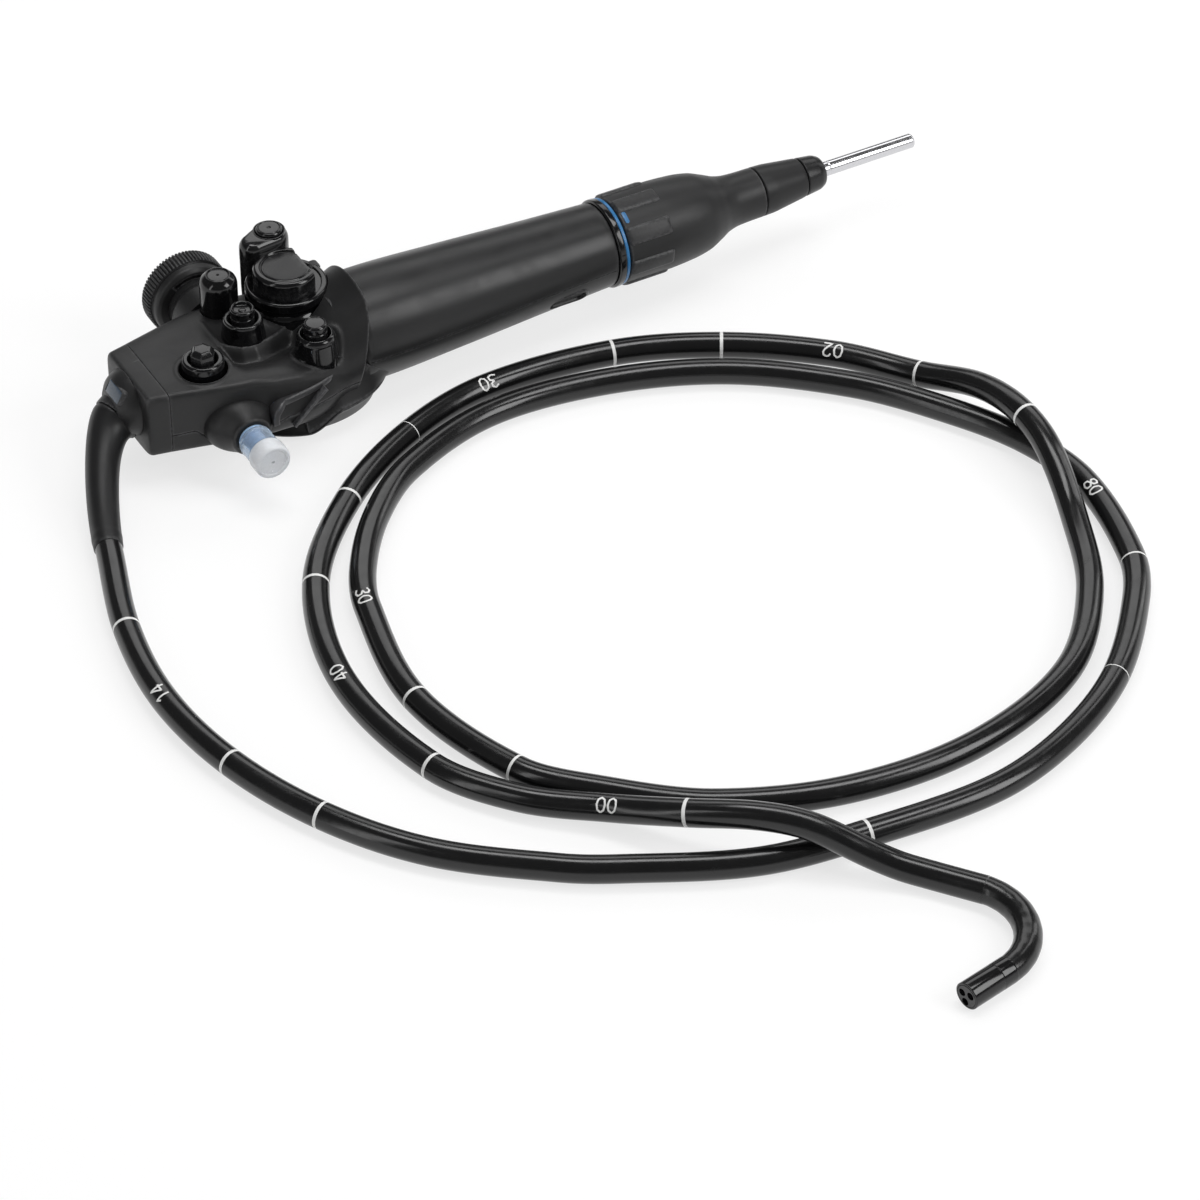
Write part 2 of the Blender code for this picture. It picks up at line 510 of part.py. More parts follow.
def make_valve():
    top = AXIS_Z + TOP_RISE
    ring_low, ring_high, cap_high = top + 2.5 * MM, top + 7 * MM, top + 14 * MM
    base = turned("valve_base", [(VALVE_RING_RADIUS, top - 12.5 * MM), (VALVE_RING_RADIUS, top + 0.2 * MM),
                                 (VALVE_BASE_RADIUS, top + 0.7 * MM), (VALVE_BASE_RADIUS, ring_low),
                                 (VALVE_RING_RADIUS, ring_low + 0.7 * MM),
                                 (VALVE_RING_RADIUS, ring_high - 0.6 * MM),
                                 (VALVE_RING_RADIUS - 0.6 * MM, ring_high)], "gloss", 36, at=(*VALVE_AT, 0))
    room = COLUMN_RADIUS + GAP
    boolean(base, turned("column_cut", [(room, 0), (room, ring_high + 5 * MM)], "gloss", 24,
                         at=(*COLUMN_AT, 0)))
    arm_low, arm_high = cap_high - 4 * MM, cap_high + 4 * MM
    shoulder = 1.2 * MM
    outline = [(0, arm_low), (0, arm_high - shoulder), (-shoulder, arm_high)]
    arm = skin("suction_elbow", [pill(COLUMN_AT, ARM_END_AT, COLUMN_RADIUS + grow, ARM_RADIUS + grow, z)
                                 for grow, z in outline], "gloss")
    boolean(arm, turned("column_join", [(COLUMN_RADIUS - 0.1 * MM, top - 6 * MM),
                                        (COLUMN_RADIUS - 0.1 * MM, arm_low + 2 * MM)], "gloss", 24,
                        at=(*COLUMN_AT, 0)), "UNION")
    cap = turned("cap_join", [(VALVE_CAP_RADIUS, ring_high + GAP), (VALVE_CAP_RADIUS, cap_high - 1.2 * MM),
                              (VALVE_CAP_RADIUS - 1.2 * MM, cap_high),
                              (VALVE_CAP_RADIUS - 2.6 * MM, cap_high),
                              (VALVE_CAP_RADIUS - 3 * MM, cap_high - 1 * MM)], "gloss", 36,
                 at=(*VALVE_AT, 0))
    boolean(cap, block("cap_flat", (VALVE_CUT_X, -10 * MM, top),
                       (VALVE_CUT_X + 20 * MM, 24 * MM, top + 30 * MM), "gloss"))
    boolean(arm, cap, "UNION")
    bore = SUCTION_RADIUS + 0.35 * MM
    boolean(arm, turned("suction_cut", [(bore, arm_high - 5.2 * MM), (bore, arm_high + 3 * MM)], "gloss",
                        28,
                        at=(*ARM_END_AT, 0)))
    boolean(arm, head_keepout("elbow_keepout"))
    turned("suction_button", [(SUCTION_RADIUS, arm_high - 1.6 * MM), (SUCTION_RADIUS, arm_high + 0.9 * MM),
                              (SUCTION_RADIUS - 0.5 * MM, arm_high + 1.3 * MM)], "gloss", 28,
           at=(*ARM_END_AT, 0))
    clip = block("back_clip", CLIP_AT, [low + size for low, size in zip(CLIP_AT, CLIP_SIZE)], "shell")
    boolean(clip, head_keepout("clip_keepout"))
    boolean(clip, turned("clip_trim", [(VALVE_RING_RADIUS + GAP, 0), (VALVE_RING_RADIUS + GAP, 60 * MM)],
                         "shell", 36,
                         at=(*VALVE_AT, 0)))


def make_wheel():
    x, z = WHEEL_AT
    back = (-math.pi / 2, 0, 0)
    hub_end, bore = WHEEL_INNER_Y - BRAKE_WIDTH - 2 * GAP, SHAFT_RADIUS + GAP
    hub = [(bore, 26.8 * MM), (HUB_RADIUS, 26.8 * MM), (HUB_RADIUS, hub_end - 2.5 * MM),
           (HUB_RADIUS + 1.8 * MM, hub_end - 1.2 * MM), (HUB_RADIUS + 1.8 * MM, hub_end), (bore, hub_end)]
    turned("hub_housing", hub, "shell", 28, hollow=True, at=(x, 0, z), turn=back)
    low, high = hub_end + GAP, WHEEL_INNER_Y - GAP
    brake = turned("brake_disc", [(bore, low), (BRAKE_RADIUS - 1.4 * MM, low),
                                  (BRAKE_RADIUS, high - 0.8 * MM),
                                  (BRAKE_RADIUS, high), (bore, high)], "shell", 36, hollow=True,
                   at=(x, 0, z), turn=back)
    steps = [math.radians(233 + 5.4 * n) for n in range(11)]
    outline = [(SLOT_RADIUS * math.cos(a), SLOT_RADIUS * math.sin(a)) for a in steps]
    outer = SLOT_RADIUS + SLOT_WIDTH
    outline += [(outer * math.cos(a), outer * math.sin(a)) for a in reversed(steps)]
    rings = [[(px, py, h) for px, py in outline] for h in (low - 2 * MM, low + SLOT_DEPTH)]
    boolean(brake, skin("slot_cut", rings, "shell", at=(x, 0, z), turn=back))
    axle = empty("wheel_axis", (x, 0, z), bpy.data.objects["datum"])
    flutes = []
    for height, shrink in ((0, 0.7), (0.7, 0), (6.9, 0), (7.6, 0.7)):
        ring = []
        for k in range(2 * WHEEL_FLUTES):
            a = math.pi * k / WHEEL_FLUTES
            radius = WHEEL_RADIUS - shrink * MM - (FLUTE_DEPTH if k % 2 else 0)
            ring.append((radius * math.cos(a), radius * math.sin(a), WHEEL_INNER_Y + height * MM))
        flutes.append(ring)
    high = WHEEL_INNER_Y + WHEEL_WIDTH
    inside = [circle(r, h, 2 * WHEEL_FLUTES) for r, h in (
        (WHEEL_RADIUS - 3 * MM, high), (WHEEL_RADIUS - 3.6 * MM, high - 2 * MM), (7 * MM, high - 2.4 * MM),
        (6.6 * MM, high), (bore, high), (bore, WHEEL_INNER_Y))]
    skin("angulation_wheel", flutes + inside, "rubber", closed=True, turn=back, parent=axle)
    turned("wheel_shaft", [(SHAFT_RADIUS, -16 * MM), (SHAFT_RADIUS, high - 0.6 * MM)], "steel", 24,
           turn=back, parent=axle)
    turned("cable_drum", [(bore, -9 * MM), (6.2 * MM, -9 * MM), (6.2 * MM, -8 * MM), (5.2 * MM, -7 * MM),
                          (5.2 * MM, -3 * MM), (6.2 * MM, -2 * MM), (6.2 * MM, -1 * MM), (bore, -1 * MM)],
           "inner", 28,
           hollow=True, turn=back, parent=axle)
    turned("wheel_screw", [(5.2 * MM, high + GAP), (5.2 * MM, high + 1.3 * MM),
                           (4.6 * MM, high + 1.8 * MM)], "steel", 28,
           turn=back, parent=axle)


def make_port():
    x, z = PORT_AT
    front = (math.pi / 2, 0, 0)
    face = -PORT_FACE_Y
    shape = [(13.5, 11.0, 21.0), (13.2, 10.8, 25.0), (11.6, 9.8, 28.0), (9.4, 8.7, 30.5), (7.8, 7.7, 32.8)]
    rings = [[(w * MM * math.cos(a), h * MM * math.sin(a), y * MM) for a in
              (2 * math.pi * k / 28 for k in range(28))] for w, h, y in shape]
    rings += [circle(PORT_RADIUS, face, 28), circle(CHANNEL_BORE + 1 * MM, face, 28),
              circle(CHANNEL_BORE + 1 * MM, 21 * MM, 28)]
    boss = skin("port_boss", rings, "shell", closed=True, at=(x, 0, z), turn=front)
    boolean(boss, head_keepout("port_keepout"))
    boolean(boss, block("boss_trim", (0, -60 * MM, -5 * MM), (60 * MM, 0, AXIS_Z - 15 * MM), "shell"))
    turned("channel_pipe", [(CHANNEL_BORE, 6 * MM), (CHANNEL_BORE + 0.7 * MM, 6 * MM),
                            (CHANNEL_BORE + 0.7 * MM, face - 0.5 * MM), (CHANNEL_BORE, face - 0.5 * MM)],
           "steel", 20,
           hollow=True, at=(x, 0, z), turn=front)
    turned("port_nozzle", [(CHANNEL_BORE, face + GAP), (5.6 * MM, face + GAP), (5.6 * MM, face + 1.2 * MM),
                           (3.6 * MM, face + 1.5 * MM), (3.4 * MM, face + 7.4 * MM),
                           (CHANNEL_BORE, face + 7.4 * MM)],
           "steel", 20, hollow=True, at=(x, 0, z), turn=front)
    low = face + 1.5 * MM
    turned("port_cap", [(3.95 * MM, low + GAP), (CAP_SKIRT_RADIUS, low + GAP),
                        (CAP_SKIRT_RADIUS, low + CAP_SKIRT - 1 * MM), (CAP_TOP_RADIUS, low + CAP_SKIRT),
                        (CAP_TOP_RADIUS, low + CAP_LENGTH_TOTAL - 1.6 * MM),
                        (CAP_TOP_RADIUS - 0.7 * MM, low + CAP_LENGTH_TOTAL - 0.6 * MM),
                        (CAP_TOP_RADIUS - 2 * MM, low + CAP_LENGTH_TOTAL - 0.6 * MM),
                        (CAP_TOP_RADIUS - 2.6 * MM, low + CAP_LENGTH_TOTAL - 1.2 * MM),
                        (0.5 * MM, low + CAP_LENGTH_TOTAL - 1.2 * MM), (0.5 * MM, low + CAP_SKIRT),
                        (3.95 * MM, low + CAP_SKIRT - 1 * MM)],
           "clear", 24, hollow=True, at=(x, 0, z), turn=front)


def rim_height(x):
    for one, two in zip(FOOT_RIM, FOOT_RIM[1:]):
        if x <= two[0]:
            return one[1] + (two[1] - one[1]) * max(0.0, (x - one[0]) / (two[0] - one[0]))
    return FOOT_RIM[-1][1]


def foot_ring(long, wide, height, share, grow=0.0):
    ring = []
    for k in range(FOOT_POINTS):
        a = 2 * math.pi * k / FOOT_POINTS
        x, y = FOOT_AT[0] + (long * MM + grow) * math.cos(a), FOOT_AT[1] + (wide * MM + grow) * math.sin(a)
        ring.append((x, y, (height + share * rim_height(x / MM)) * MM))
    return ring


def make_foot():
    foot = skin("support_foot", [foot_ring(*section) for section in FOOT_SECTIONS], "shell")
    boolean(foot, head_keepout("foot_keepout"))
    grip = turned("grip_keepout", [(GRIP_START_RADIUS + GAP, 70 * MM), (GRIP_START_RADIUS + GAP, 130 * MM)],
                  "shell", 40,
                  **along_x(0))
    boolean(foot, grip)


def make_bracket():
    """A three-sided frame on the near side, between the port and the foot's skirt."""
    def frame(shrink):
        low, left, right = (51.5 * MM, -12 * MM), (42.5 * MM, 1.6 * MM), (66 * MM, 1.6 * MM)
        middle = Vector(((low[0] + left[0] + right[0]) / 3, (low[1] + left[1] + right[1]) / 3))
        return [middle + (Vector(corner) - middle) * shrink for corner in (low, right, left)]
    outer, inner = frame(1.0), frame(0.62)
    rings = []
    for corners, y in ((outer, -31 * MM), (outer, -20 * MM), (inner, -20 * MM), (inner, -31 * MM)):
        rings.append([(c.x, y, AXIS_Z + c.y) for c in corners])
    bracket = skin("side_bracket", rings, "shell", closed=True)
    boolean(bracket, head_keepout("bracket_keepout"))
    boolean(bracket, turned("bracket_trim", [(15 * MM, 15 * MM), (15 * MM, 40 * MM)], "shell", 40,
                            at=(PORT_AT[0], 0, PORT_AT[1]), turn=(math.pi / 2, 0, 0)))
    grown = [foot_ring(32.0, 26.4, -1.0, 0.0), foot_ring(32.0, 26.4, 9.0, 1.0)]
    boolean(bracket, skin("bracket_foot_cut", grown, "shell"))


def make_inside():
    start, half = CAP_LENGTH + 4 * MM, CHASSIS_WIDTH / 2
    low, high = AXIS_Z - CHASSIS_DROP, AXIS_Z - CHASSIS_DROP + CHASSIS_THICKNESS
    block("chassis_plate", (start, -half, low), (start + CHASSIS_LENGTH, half, high), "inner")
    half -= 1 * MM
    block("control_board", (start, -half, high + GAP),
          (start + BOARD_LENGTH, half, high + GAP + BOARD_THICKNESS), "board")


def make_grip():
    length = GRIP_END - GRIP_START
    early = 8 * MM
    outer = [(GRIP_START_RADIUS, -early), (GRIP_START_RADIUS, 0.12 * length)]
    outer += [(radius, share * length) for share, radius in GRIP_MIDDLE] + [(GRIP_END_RADIUS, length)]
    inner = [(r - GRIP_WALL, h) for r, h in outer][::-1]
    grip = turned("grip_shell", outer + inner, "shell", 40, hollow=True, **along_x(GRIP_START))
    boolean(grip, block("grip_start_cut", (-20 * MM, -30 * MM, -40 * MM), (0, 30 * MM, 40 * MM), "shell",
                        at=(GRIP_START, 0, AXIS_Z), turn=(0, math.atan(END_LEAN), 0)))
    boolean(grip, turned("grip_valve_cut", [(VALVE_RING_RADIUS + GAP, -2 * MM),
                                            (VALVE_RING_RADIUS + GAP, 30 * MM)],
                         "shell", 36, at=(*VALVE_AT, AXIS_Z)))
    (share, wide), narrow = GRIP_MIDDLE[-1], GRIP_END_RADIUS
    reach = wide + (narrow - wide) * ((VENT_AT - GRIP_START) / length - share) / (1 - share)
    spot = (VENT_AT, reach * math.cos(VENT_ANGLE), AXIS_Z + reach * math.sin(VENT_ANGLE))
    turn = (VENT_ANGLE - math.pi / 2, 0, 0)
    def oval(grow, z):
        half = (VENT_SIZE[0] - VENT_SIZE[1]) / 2
        return pill((-half, 0), (half, 0), VENT_SIZE[1] / 2 + grow, VENT_SIZE[1] / 2 + grow, z, 10)
    boolean(grip, skin("vent_cut", [oval(GAP, -6 * MM), oval(GAP, 6 * MM)], "shell", at=spot, turn=turn))
    skin("grip_vent", [oval(0, -VENT_DEPTH - 1.7 * MM), oval(0, -VENT_DEPTH)], "gloss", at=spot, turn=turn)


def make_connector():
    start = RING_START
    core = CORE_RADIUS + GAP
    turned("rim_ring", [(core, 0), (RING_RADIUS, 0), (RING_RADIUS, RING_LENGTH), (core, RING_LENGTH)],
           "gloss", 36,
           hollow=True, **along_x(start))
    start += RING_LENGTH + GAP
    turned("index_ring", [(core, 0), (INDEX_RADIUS, 0), (INDEX_RADIUS, INDEX_LENGTH), (core, INDEX_LENGTH)],
           "blue", 36,
           hollow=True, **along_x(start))
    make_collar()
    neck_end = COLLAR_START + COLLAR_PROFILE[-1][0] * MM
    turned("core_tube", [(PIN_RADIUS + GAP, 0), (CORE_RADIUS, 0), (CORE_RADIUS, neck_end - CORE_START),
                         (PIN_RADIUS + GAP, neck_end - CORE_START)], "inner", 24, hollow=True,
           **along_x(CORE_START))
    inner = PIN_RADIUS + GAP
    one = neck_end + GAP
    turned("middle_sleeve", [(inner, 0), (9.6 * MM, 0), (9.4 * MM, 5 * MM),
                             (7.6 * MM, SLEEVE_ONE_END - one),
                             (inner, SLEEVE_ONE_END - one)], "rubber", 28, hollow=True, **along_x(one))
    two = SLEEVE_ONE_END + GAP
    long = SLEEVE_TWO_END - two
    turned("end_sleeve", [(inner, 0), (7.5 * MM, 0), (6.6 * MM, long - 2.2 * MM),
                          (5.6 * MM, long - 0.5 * MM),
                          (4.6 * MM, long), (inner, long)], "rubber", 28, hollow=True, **along_x(two))
    long = PIN_END - PIN_START
    turned("light_pin", [(PIN_BORE, 0), (PIN_RADIUS, 0), (PIN_RADIUS, long - 0.4 * MM),
                         (PIN_RADIUS - 0.4 * MM, long), (PIN_BORE, long)], "steel", 24, hollow=True,
           **along_x(PIN_START))
    turned("pin_window", [(PIN_BORE - GAP / 2, 0), (PIN_BORE - GAP / 2, 6 * MM)], "glass", 16,
           **along_x(PIN_END - 6.4 * MM))


def make_collar():
    """Turning lock collar: raised pads at its start, then a smooth shoulder down to the neck."""
    steps = PAD_STEPS + GROOVE_STEPS
    sides = PAD_COUNT * len(steps)

    def outer(x, radius, raised):
        ring = []
        for k in range(sides):
            share = steps[k % len(steps)]
            r = radius + (PAD_RISE if raised and share in PAD_STEPS else 0)
            a = 2 * math.pi * (k // len(steps) + share) / PAD_COUNT
            ring.append((r * math.cos(a), r * math.sin(a), x))
        return ring

    def inner(x, radius):
        return outer(x, radius, False)

    pad_radius = INDEX_RADIUS
    rings = [outer(0, pad_radius - 0.6 * MM, False), outer(0.8 * MM, pad_radius, False),
             outer(1.0 * MM, pad_radius, True), outer(PAD_LENGTH, pad_radius, True),
             outer(PAD_LENGTH + 0.3 * MM, pad_radius, False)]
    rings += [outer(x * MM, r * MM, False) for x, r in COLLAR_PROFILE if x * MM > PAD_LENGTH + 1 * MM]
    inside = [(max(r * MM - COLLAR_WALL, CORE_RADIUS + GAP), x * MM)
              for x, r in COLLAR_PROFILE if x > 19][::-1]
    inside += [(15.0 * MM, 2.4 * MM), (CORE_RADIUS + GAP, 2.0 * MM), (CORE_RADIUS + GAP, 0)]
    rings += [inner(x, r) for r, x in inside]
    collar = skin("lock_collar", rings, "shell", closed=True, **along_x(COLLAR_START))
    angle = math.radians(118)
    spot = (COLLAR_START + 4.2 * MM, 17.2 * MM * math.cos(angle), AXIS_Z + 17.2 * MM * math.sin(angle))
    turn = (angle - math.pi / 2, 0, 0)
    half = (2.4 * MM, 1.0 * MM, 1.0 * MM)
    room = [side + GAP for side in half]
    boolean(collar, block("mark_cut", [-side for side in room], (room[0], room[1], 3 * MM), "shell",
                          at=spot, turn=turn))
    block("collar_mark", [-side for side in half], (half[0], half[1], 0.5 * MM), "blue", at=spot, turn=turn)


def smooth_route():
    """Points at an even step along a smooth curve through the route's own points."""
    own = [Vector(BOOT_END) + Vector(BOOT_END_AIM) * GAP]
    own += [Vector((x * MM, y * MM, TUBE_Z + z * MM)) for x, y, z in ROUTE]
    own.append(Vector((*BEND_START, TUBE_Z)))
    fine = []
    for k in range(len(own) - 1):
        before, one, two, after = own[max(k - 1, 0)], own[k], own[k + 1], own[min(k + 2, len(own) - 1)]
        span = (two - one).length
        pull_one = (two - before) * span / max((two - one).length + (one - before).length, 1e-9)
        pull_two = (after - one) * span / max((after - two).length + (two - one).length, 1e-9)
        for n in range(12):
            t = n / 12
            fine.append((2 * t ** 3 - 3 * t ** 2 + 1) * one + (t ** 3 - 2 * t ** 2 + t) * pull_one
                        + (3 * t ** 2 - 2 * t ** 3) * two + (t ** 3 - t ** 2) * pull_two)
    fine.append(own[-1])
    length = sum((b - a).length for a, b in zip(fine, fine[1:]))
    count = round(length / TUBE_STEP)
    points, walked, target = [fine[0]], 0.0, length / count
    for a, b in zip(fine, fine[1:]):
        step = (b - a).length
        while walked + step >= target and len(points) < count:
            points.append(a.lerp(b, (target - walked) / step))
            target += length / count
        walked += step
    aim = Vector((math.cos(BEND_AIM), math.sin(BEND_AIM), 0))
    return points + [own[-1] - aim * LAST_STRAIGHT, own[-1]]


def make_tube():
    curve = bpy.data.curves.new("insertion_tube", "CURVE")
    curve.dimensions = "3D"
    curve.bevel_depth = TUBE_DIAMETER / 2
    curve.bevel_resolution = 2
    curve.use_fill_caps = True
    line = curve.splines.new("POLY")
    points = smooth_route()
    line.points.add(len(points) - 1)
    for spot, point in zip(line.points, points):
        spot.co = (*point, 1)
    curve.materials.append(bpy.data.materials["tube"])
    made = bpy.data.objects.new("insertion_tube", curve)
    bpy.context.scene.collection.objects.link(made)
    made.parent = bpy.data.objects["datum"]


def roof_ring(radius, at, side, sides=16):
    """A ring whose face falls away on both sides of an upright ridge, so its neighbour can lean over."""
    ring = []
    for k in range(sides):
        a = 2 * math.pi * k / sides
        across = radius * math.cos(a)
        slope = BEVEL_INSIDE if across < 0 else BEVEL_OUTSIDE
        ring.append((at - side * abs(across) * slope, across, radius * math.sin(a)))
    return ring


def flat_ring(radius, at, sides=16):
    return [(at, radius * math.cos(2 * math.pi * k / sides), radius * math.sin(2 * math.pi * k / sides))
            for k in range(sides)]


def make_bending_end():
    """Links hinged on upright axes, then the rigid tip. Each is parented to an empty on its own axis."""
    datum = bpy.data.objects["datum"]
    base = empty("bend_base_axis", (*BEND_START, TUBE_Z), datum)
    base.rotation_euler = (0, 0, BEND_AIM)
    half = LINK_PITCH / 2
    back, front = GAP / 2, LINK_PITCH - GAP / 2
    skin("bend_base", [flat_ring(TUBE_DIAMETER / 2, GAP), roof_ring(TUBE_DIAMETER / 2, half - back, 1),
                       roof_ring(LINK_BORE, half - back, 1), flat_ring(LINK_BORE, GAP)], "tube",
         closed=True, parent=base)
    parent, offset = base, half
    for k in range(1, LINK_COUNT + 1):
        axis = empty(f"bend_axis_{k:02d}", (offset, 0, 0), parent)
        axis.rotation_euler = (0, 0, LINK_BEND)
        if k < LINK_COUNT:
            skin(f"bend_link_{k:02d}", [roof_ring(LINK_RADIUS, back, -1), roof_ring(LINK_RADIUS, front, 1),
                                        roof_ring(LINK_BORE, front, 1), roof_ring(LINK_BORE, back, -1)],
                 "inner", closed=True, parent=axis)
        parent, offset = axis, LINK_PITCH
    make_tip(parent)


def make_tip(parent):
    end = LINK_PITCH / 2 + TIP_LENGTH
    sides = 24
    rings = [roof_ring(LINK_RADIUS, GAP / 2, -1, sides), flat_ring(LINK_RADIUS, 1.6 * MM, sides),
             flat_ring(TIP_RADIUS, 1.9 * MM, sides), flat_ring(TIP_RADIUS, end - 0.5 * MM, sides),
             flat_ring(TIP_RADIUS - 0.5 * MM, end, sides)]
    tip = skin("distal_tip", rings, "gloss", parent=parent)
    holes = ((1.9, 1.5, 1.45, "objective_lens"), (-1.9, 1.5, 1.35, "light_lens"), (0.2, -1.9, 1.6, None))
    for y, z, radius, name in holes:
        spot = {"at": (end - 3 * MM, y * MM, z * MM), "turn": (0, math.pi / 2, 0), "parent": parent}
        boolean(tip, turned(f"tip_cut_{len(tip.modifiers)}", [(radius * MM, 0), (radius * MM, 6 * MM)],
                            "gloss", 16, **spot))
        if name:
            turned(name, [((radius - 0.25) * MM, GAP), ((radius - 0.25) * MM, 2.4 * MM)], "glass", 16,
                   **spot)


def main():
    for item in list(bpy.data.objects):
        bpy.data.objects.remove(item)
    make_materials()
    empty("datum", DATUM)
    make_head()
    make_gland()
    make_buttons()
    make_valve()
    make_wheel()
    make_port()
    make_foot()
    make_bracket()
    make_inside()
    make_grip()
    make_connector()
    make_tube()
    make_bending_end()


main()
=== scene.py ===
"""Looks for the flexible endoscope.

Pieces are built in the handle's own coordinates, in millimetres: x from the head's end cap, y across, and
h as height from the handle's axis. solid() turns them into the shared frame, in metres.
"""
import math

import bmesh
import bpy
import numpy as np
from mathutils import Matrix, Vector

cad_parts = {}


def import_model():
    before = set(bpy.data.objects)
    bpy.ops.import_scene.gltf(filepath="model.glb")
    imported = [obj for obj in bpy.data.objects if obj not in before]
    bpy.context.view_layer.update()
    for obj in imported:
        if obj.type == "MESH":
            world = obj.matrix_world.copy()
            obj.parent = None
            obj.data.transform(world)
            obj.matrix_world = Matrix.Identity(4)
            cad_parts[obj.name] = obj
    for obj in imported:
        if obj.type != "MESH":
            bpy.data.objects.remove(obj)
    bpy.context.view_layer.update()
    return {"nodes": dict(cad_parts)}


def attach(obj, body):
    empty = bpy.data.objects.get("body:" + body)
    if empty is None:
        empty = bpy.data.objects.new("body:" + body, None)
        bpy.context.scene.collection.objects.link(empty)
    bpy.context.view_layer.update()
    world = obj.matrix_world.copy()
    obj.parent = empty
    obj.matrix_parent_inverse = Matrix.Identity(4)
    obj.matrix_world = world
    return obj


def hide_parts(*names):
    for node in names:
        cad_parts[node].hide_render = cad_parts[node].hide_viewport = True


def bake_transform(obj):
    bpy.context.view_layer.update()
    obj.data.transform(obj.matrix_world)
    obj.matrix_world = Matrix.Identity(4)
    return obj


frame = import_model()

MM = 0.001
AXIS = 26.0                          # the handle's axis above the table
ORIGIN = np.array((-146.9, -0.5, AXIS))
TAU = 2 * math.pi


# Camera.

def make_camera():
    """The camera at the photo's viewing angle."""
    camera = bpy.data.objects.new("camera", bpy.data.cameras.new("camera"))
    bpy.context.scene.collection.objects.link(camera)
    camera.data.lens = 154.5
    camera.data.sensor_width = 36
    camera.matrix_world = Matrix((
        (0.87035573, 0.31652379, -0.37721834, -0.71796733),
        (-0.49242356, 0.55945390, -0.66673118, -1.35309822),
        (0.0, 0.76604444, 0.64278764, 1.15701771),
        (0.0, 0.0, 0.0, 1.0)))
    scene = bpy.context.scene
    scene.camera = camera
    scene.render.resolution_x = scene.render.resolution_y = 1200
    scene.view_settings.view_transform = "Standard"


# Mesh helpers.

def world(points):
    """Own millimetres as metres in the shared frame."""
    return ((np.asarray(points, float) + ORIGIN) * MM).tolist()


def bare(name, points, faces):
    """An object with its faces turned outwards, from points in metres."""
    mesh = bpy.data.meshes.new(name)
    mesh.from_pydata(points, [], faces)
    shape = bmesh.new()
    shape.from_mesh(mesh)
    bmesh.ops.recalc_face_normals(shape, faces=shape.faces)
    shape.to_mesh(mesh)
    shape.free()
    made = bpy.data.objects.new(name, mesh)
    bpy.context.scene.collection.objects.link(made)
    return made


def shade(mesh, sharp):
    """Smooth shading, with an edge wherever faces meet at more than the sharp angle."""
    mesh.shade_smooth()
    mesh.set_sharp_from_angle(angle=math.radians(sharp))


def solid(name, points, faces, material, sharp=38):
    made = bare(name, world(points), faces)
    shade(made.data, sharp)
    made.data.materials.append(material)
    return made


def band(low, high, sides):
    """Faces between two rings that start at the given point numbers."""
    return [(low + k, low + (k + 1) % sides, high + (k + 1) % sides, high + k) for k in range(sides)]


def bands(count, sides, closed=False):
    """Faces from each ring to the next, and from the last to the first where they close up."""
    return [face for i in range(count if closed else count - 1)
            for face in band(i * sides, (i + 1) % count * sides, sides)]


def wall_end(low, sides):
    """Faces over the end of a wall, whose ring runs out along one side and back along the other."""
    return [(low + k, low + k + 1, low + sides - 2 - k, low + sides - 1 - k) for k in range(sides // 2 - 1)]


def loft(name, rings, material, closed=False, sharp=38):
    rings = np.asarray(rings, float)
    count, sides = rings.shape[:2]
    faces = bands(count, sides, closed)
    if not closed:
        faces += [tuple(range(sides)), tuple(range((count - 1) * sides, count * sides))]
    return solid(name, rings.reshape(-1, 3), faces, material, sharp)


def rounded(corners, size=0.4, closed=False, steps=4):
    """A profile with its corners rounded off. A third number on a corner is its own radius."""
    out = []
    for k, corner in enumerate(corners):
        here = np.array(corner[:2], float)
        own = corner[2] if len(corner) > 2 else size
        if own == 0 or (not closed and k in (0, len(corners) - 1)):
            out.append(here)
            continue
        before = np.array(corners[k - 1][:2], float) - here
        after = np.array(corners[(k + 1) % len(corners)][:2], float) - here
        long_before, long_after = np.linalg.norm(before), np.linalg.norm(after)
        cut = min(own, 0.45 * long_before, 0.45 * long_after)
        one, two = here + before / long_before * cut, here + after / long_after * cut
        for s in np.linspace(0, 1, steps + 1):
            out.append((1 - s) ** 2 * one + 2 * s * (1 - s) * here + s ** 2 * two)
    return out


SIDES_OF = {"z": ((1, 0, 0), (0, 1, 0), (0, 0, 1)), "x": ((0, 1, 0), (0, 0, 1), (1, 0, 0)),
            "-x": ((0, 0, 1), (0, 1, 0), (-1, 0, 0)), "y": ((0, 0, 1), (1, 0, 0), (0, 1, 0)),
            "-y": ((1, 0, 0), (0, 0, 1), (0, -1, 0))}


def ring(centre, radius, one, two, sides):
    """Points round a circle in the plane of two directions."""
    angles = np.arange(sides)[:, None] * TAU / sides
    return np.asarray(centre, float) + radius * (np.cos(angles) * one + np.sin(angles) * two)


def turned(name, corners, material, at, axis="z", sides=96, closed=False, size=0.4, sharp=38):
    """A piece turned about an axis, from radius and height corners. A closed profile is hollow."""
    one, two, along = (np.array(d, float) for d in SIDES_OF[axis])
    rings = [ring(np.array(at) + height * along, radius, one, two, sides)
             for radius, height in rounded(corners, size, closed)]
    return loft(name, rings, material, closed, sharp)


def bake(piece):
    """Turns the evaluated piece into a plain mesh without its modifiers."""
    mesh = bpy.data.meshes.new_from_object(piece.evaluated_get(bpy.context.evaluated_depsgraph_get()))
    piece.modifiers.clear()
    piece.data = mesh
    return mesh


def carve(piece, cutter, sharp=38):
    """Cuts the cutter's shape out of the piece."""
    step = piece.modifiers.new("carve", "BOOLEAN")
    step.operation = "DIFFERENCE"
    step.solver = "EXACT"
    step.object = cutter
    bake(piece).set_sharp_from_angle(angle=math.radians(sharp))
    bpy.data.objects.remove(cutter)


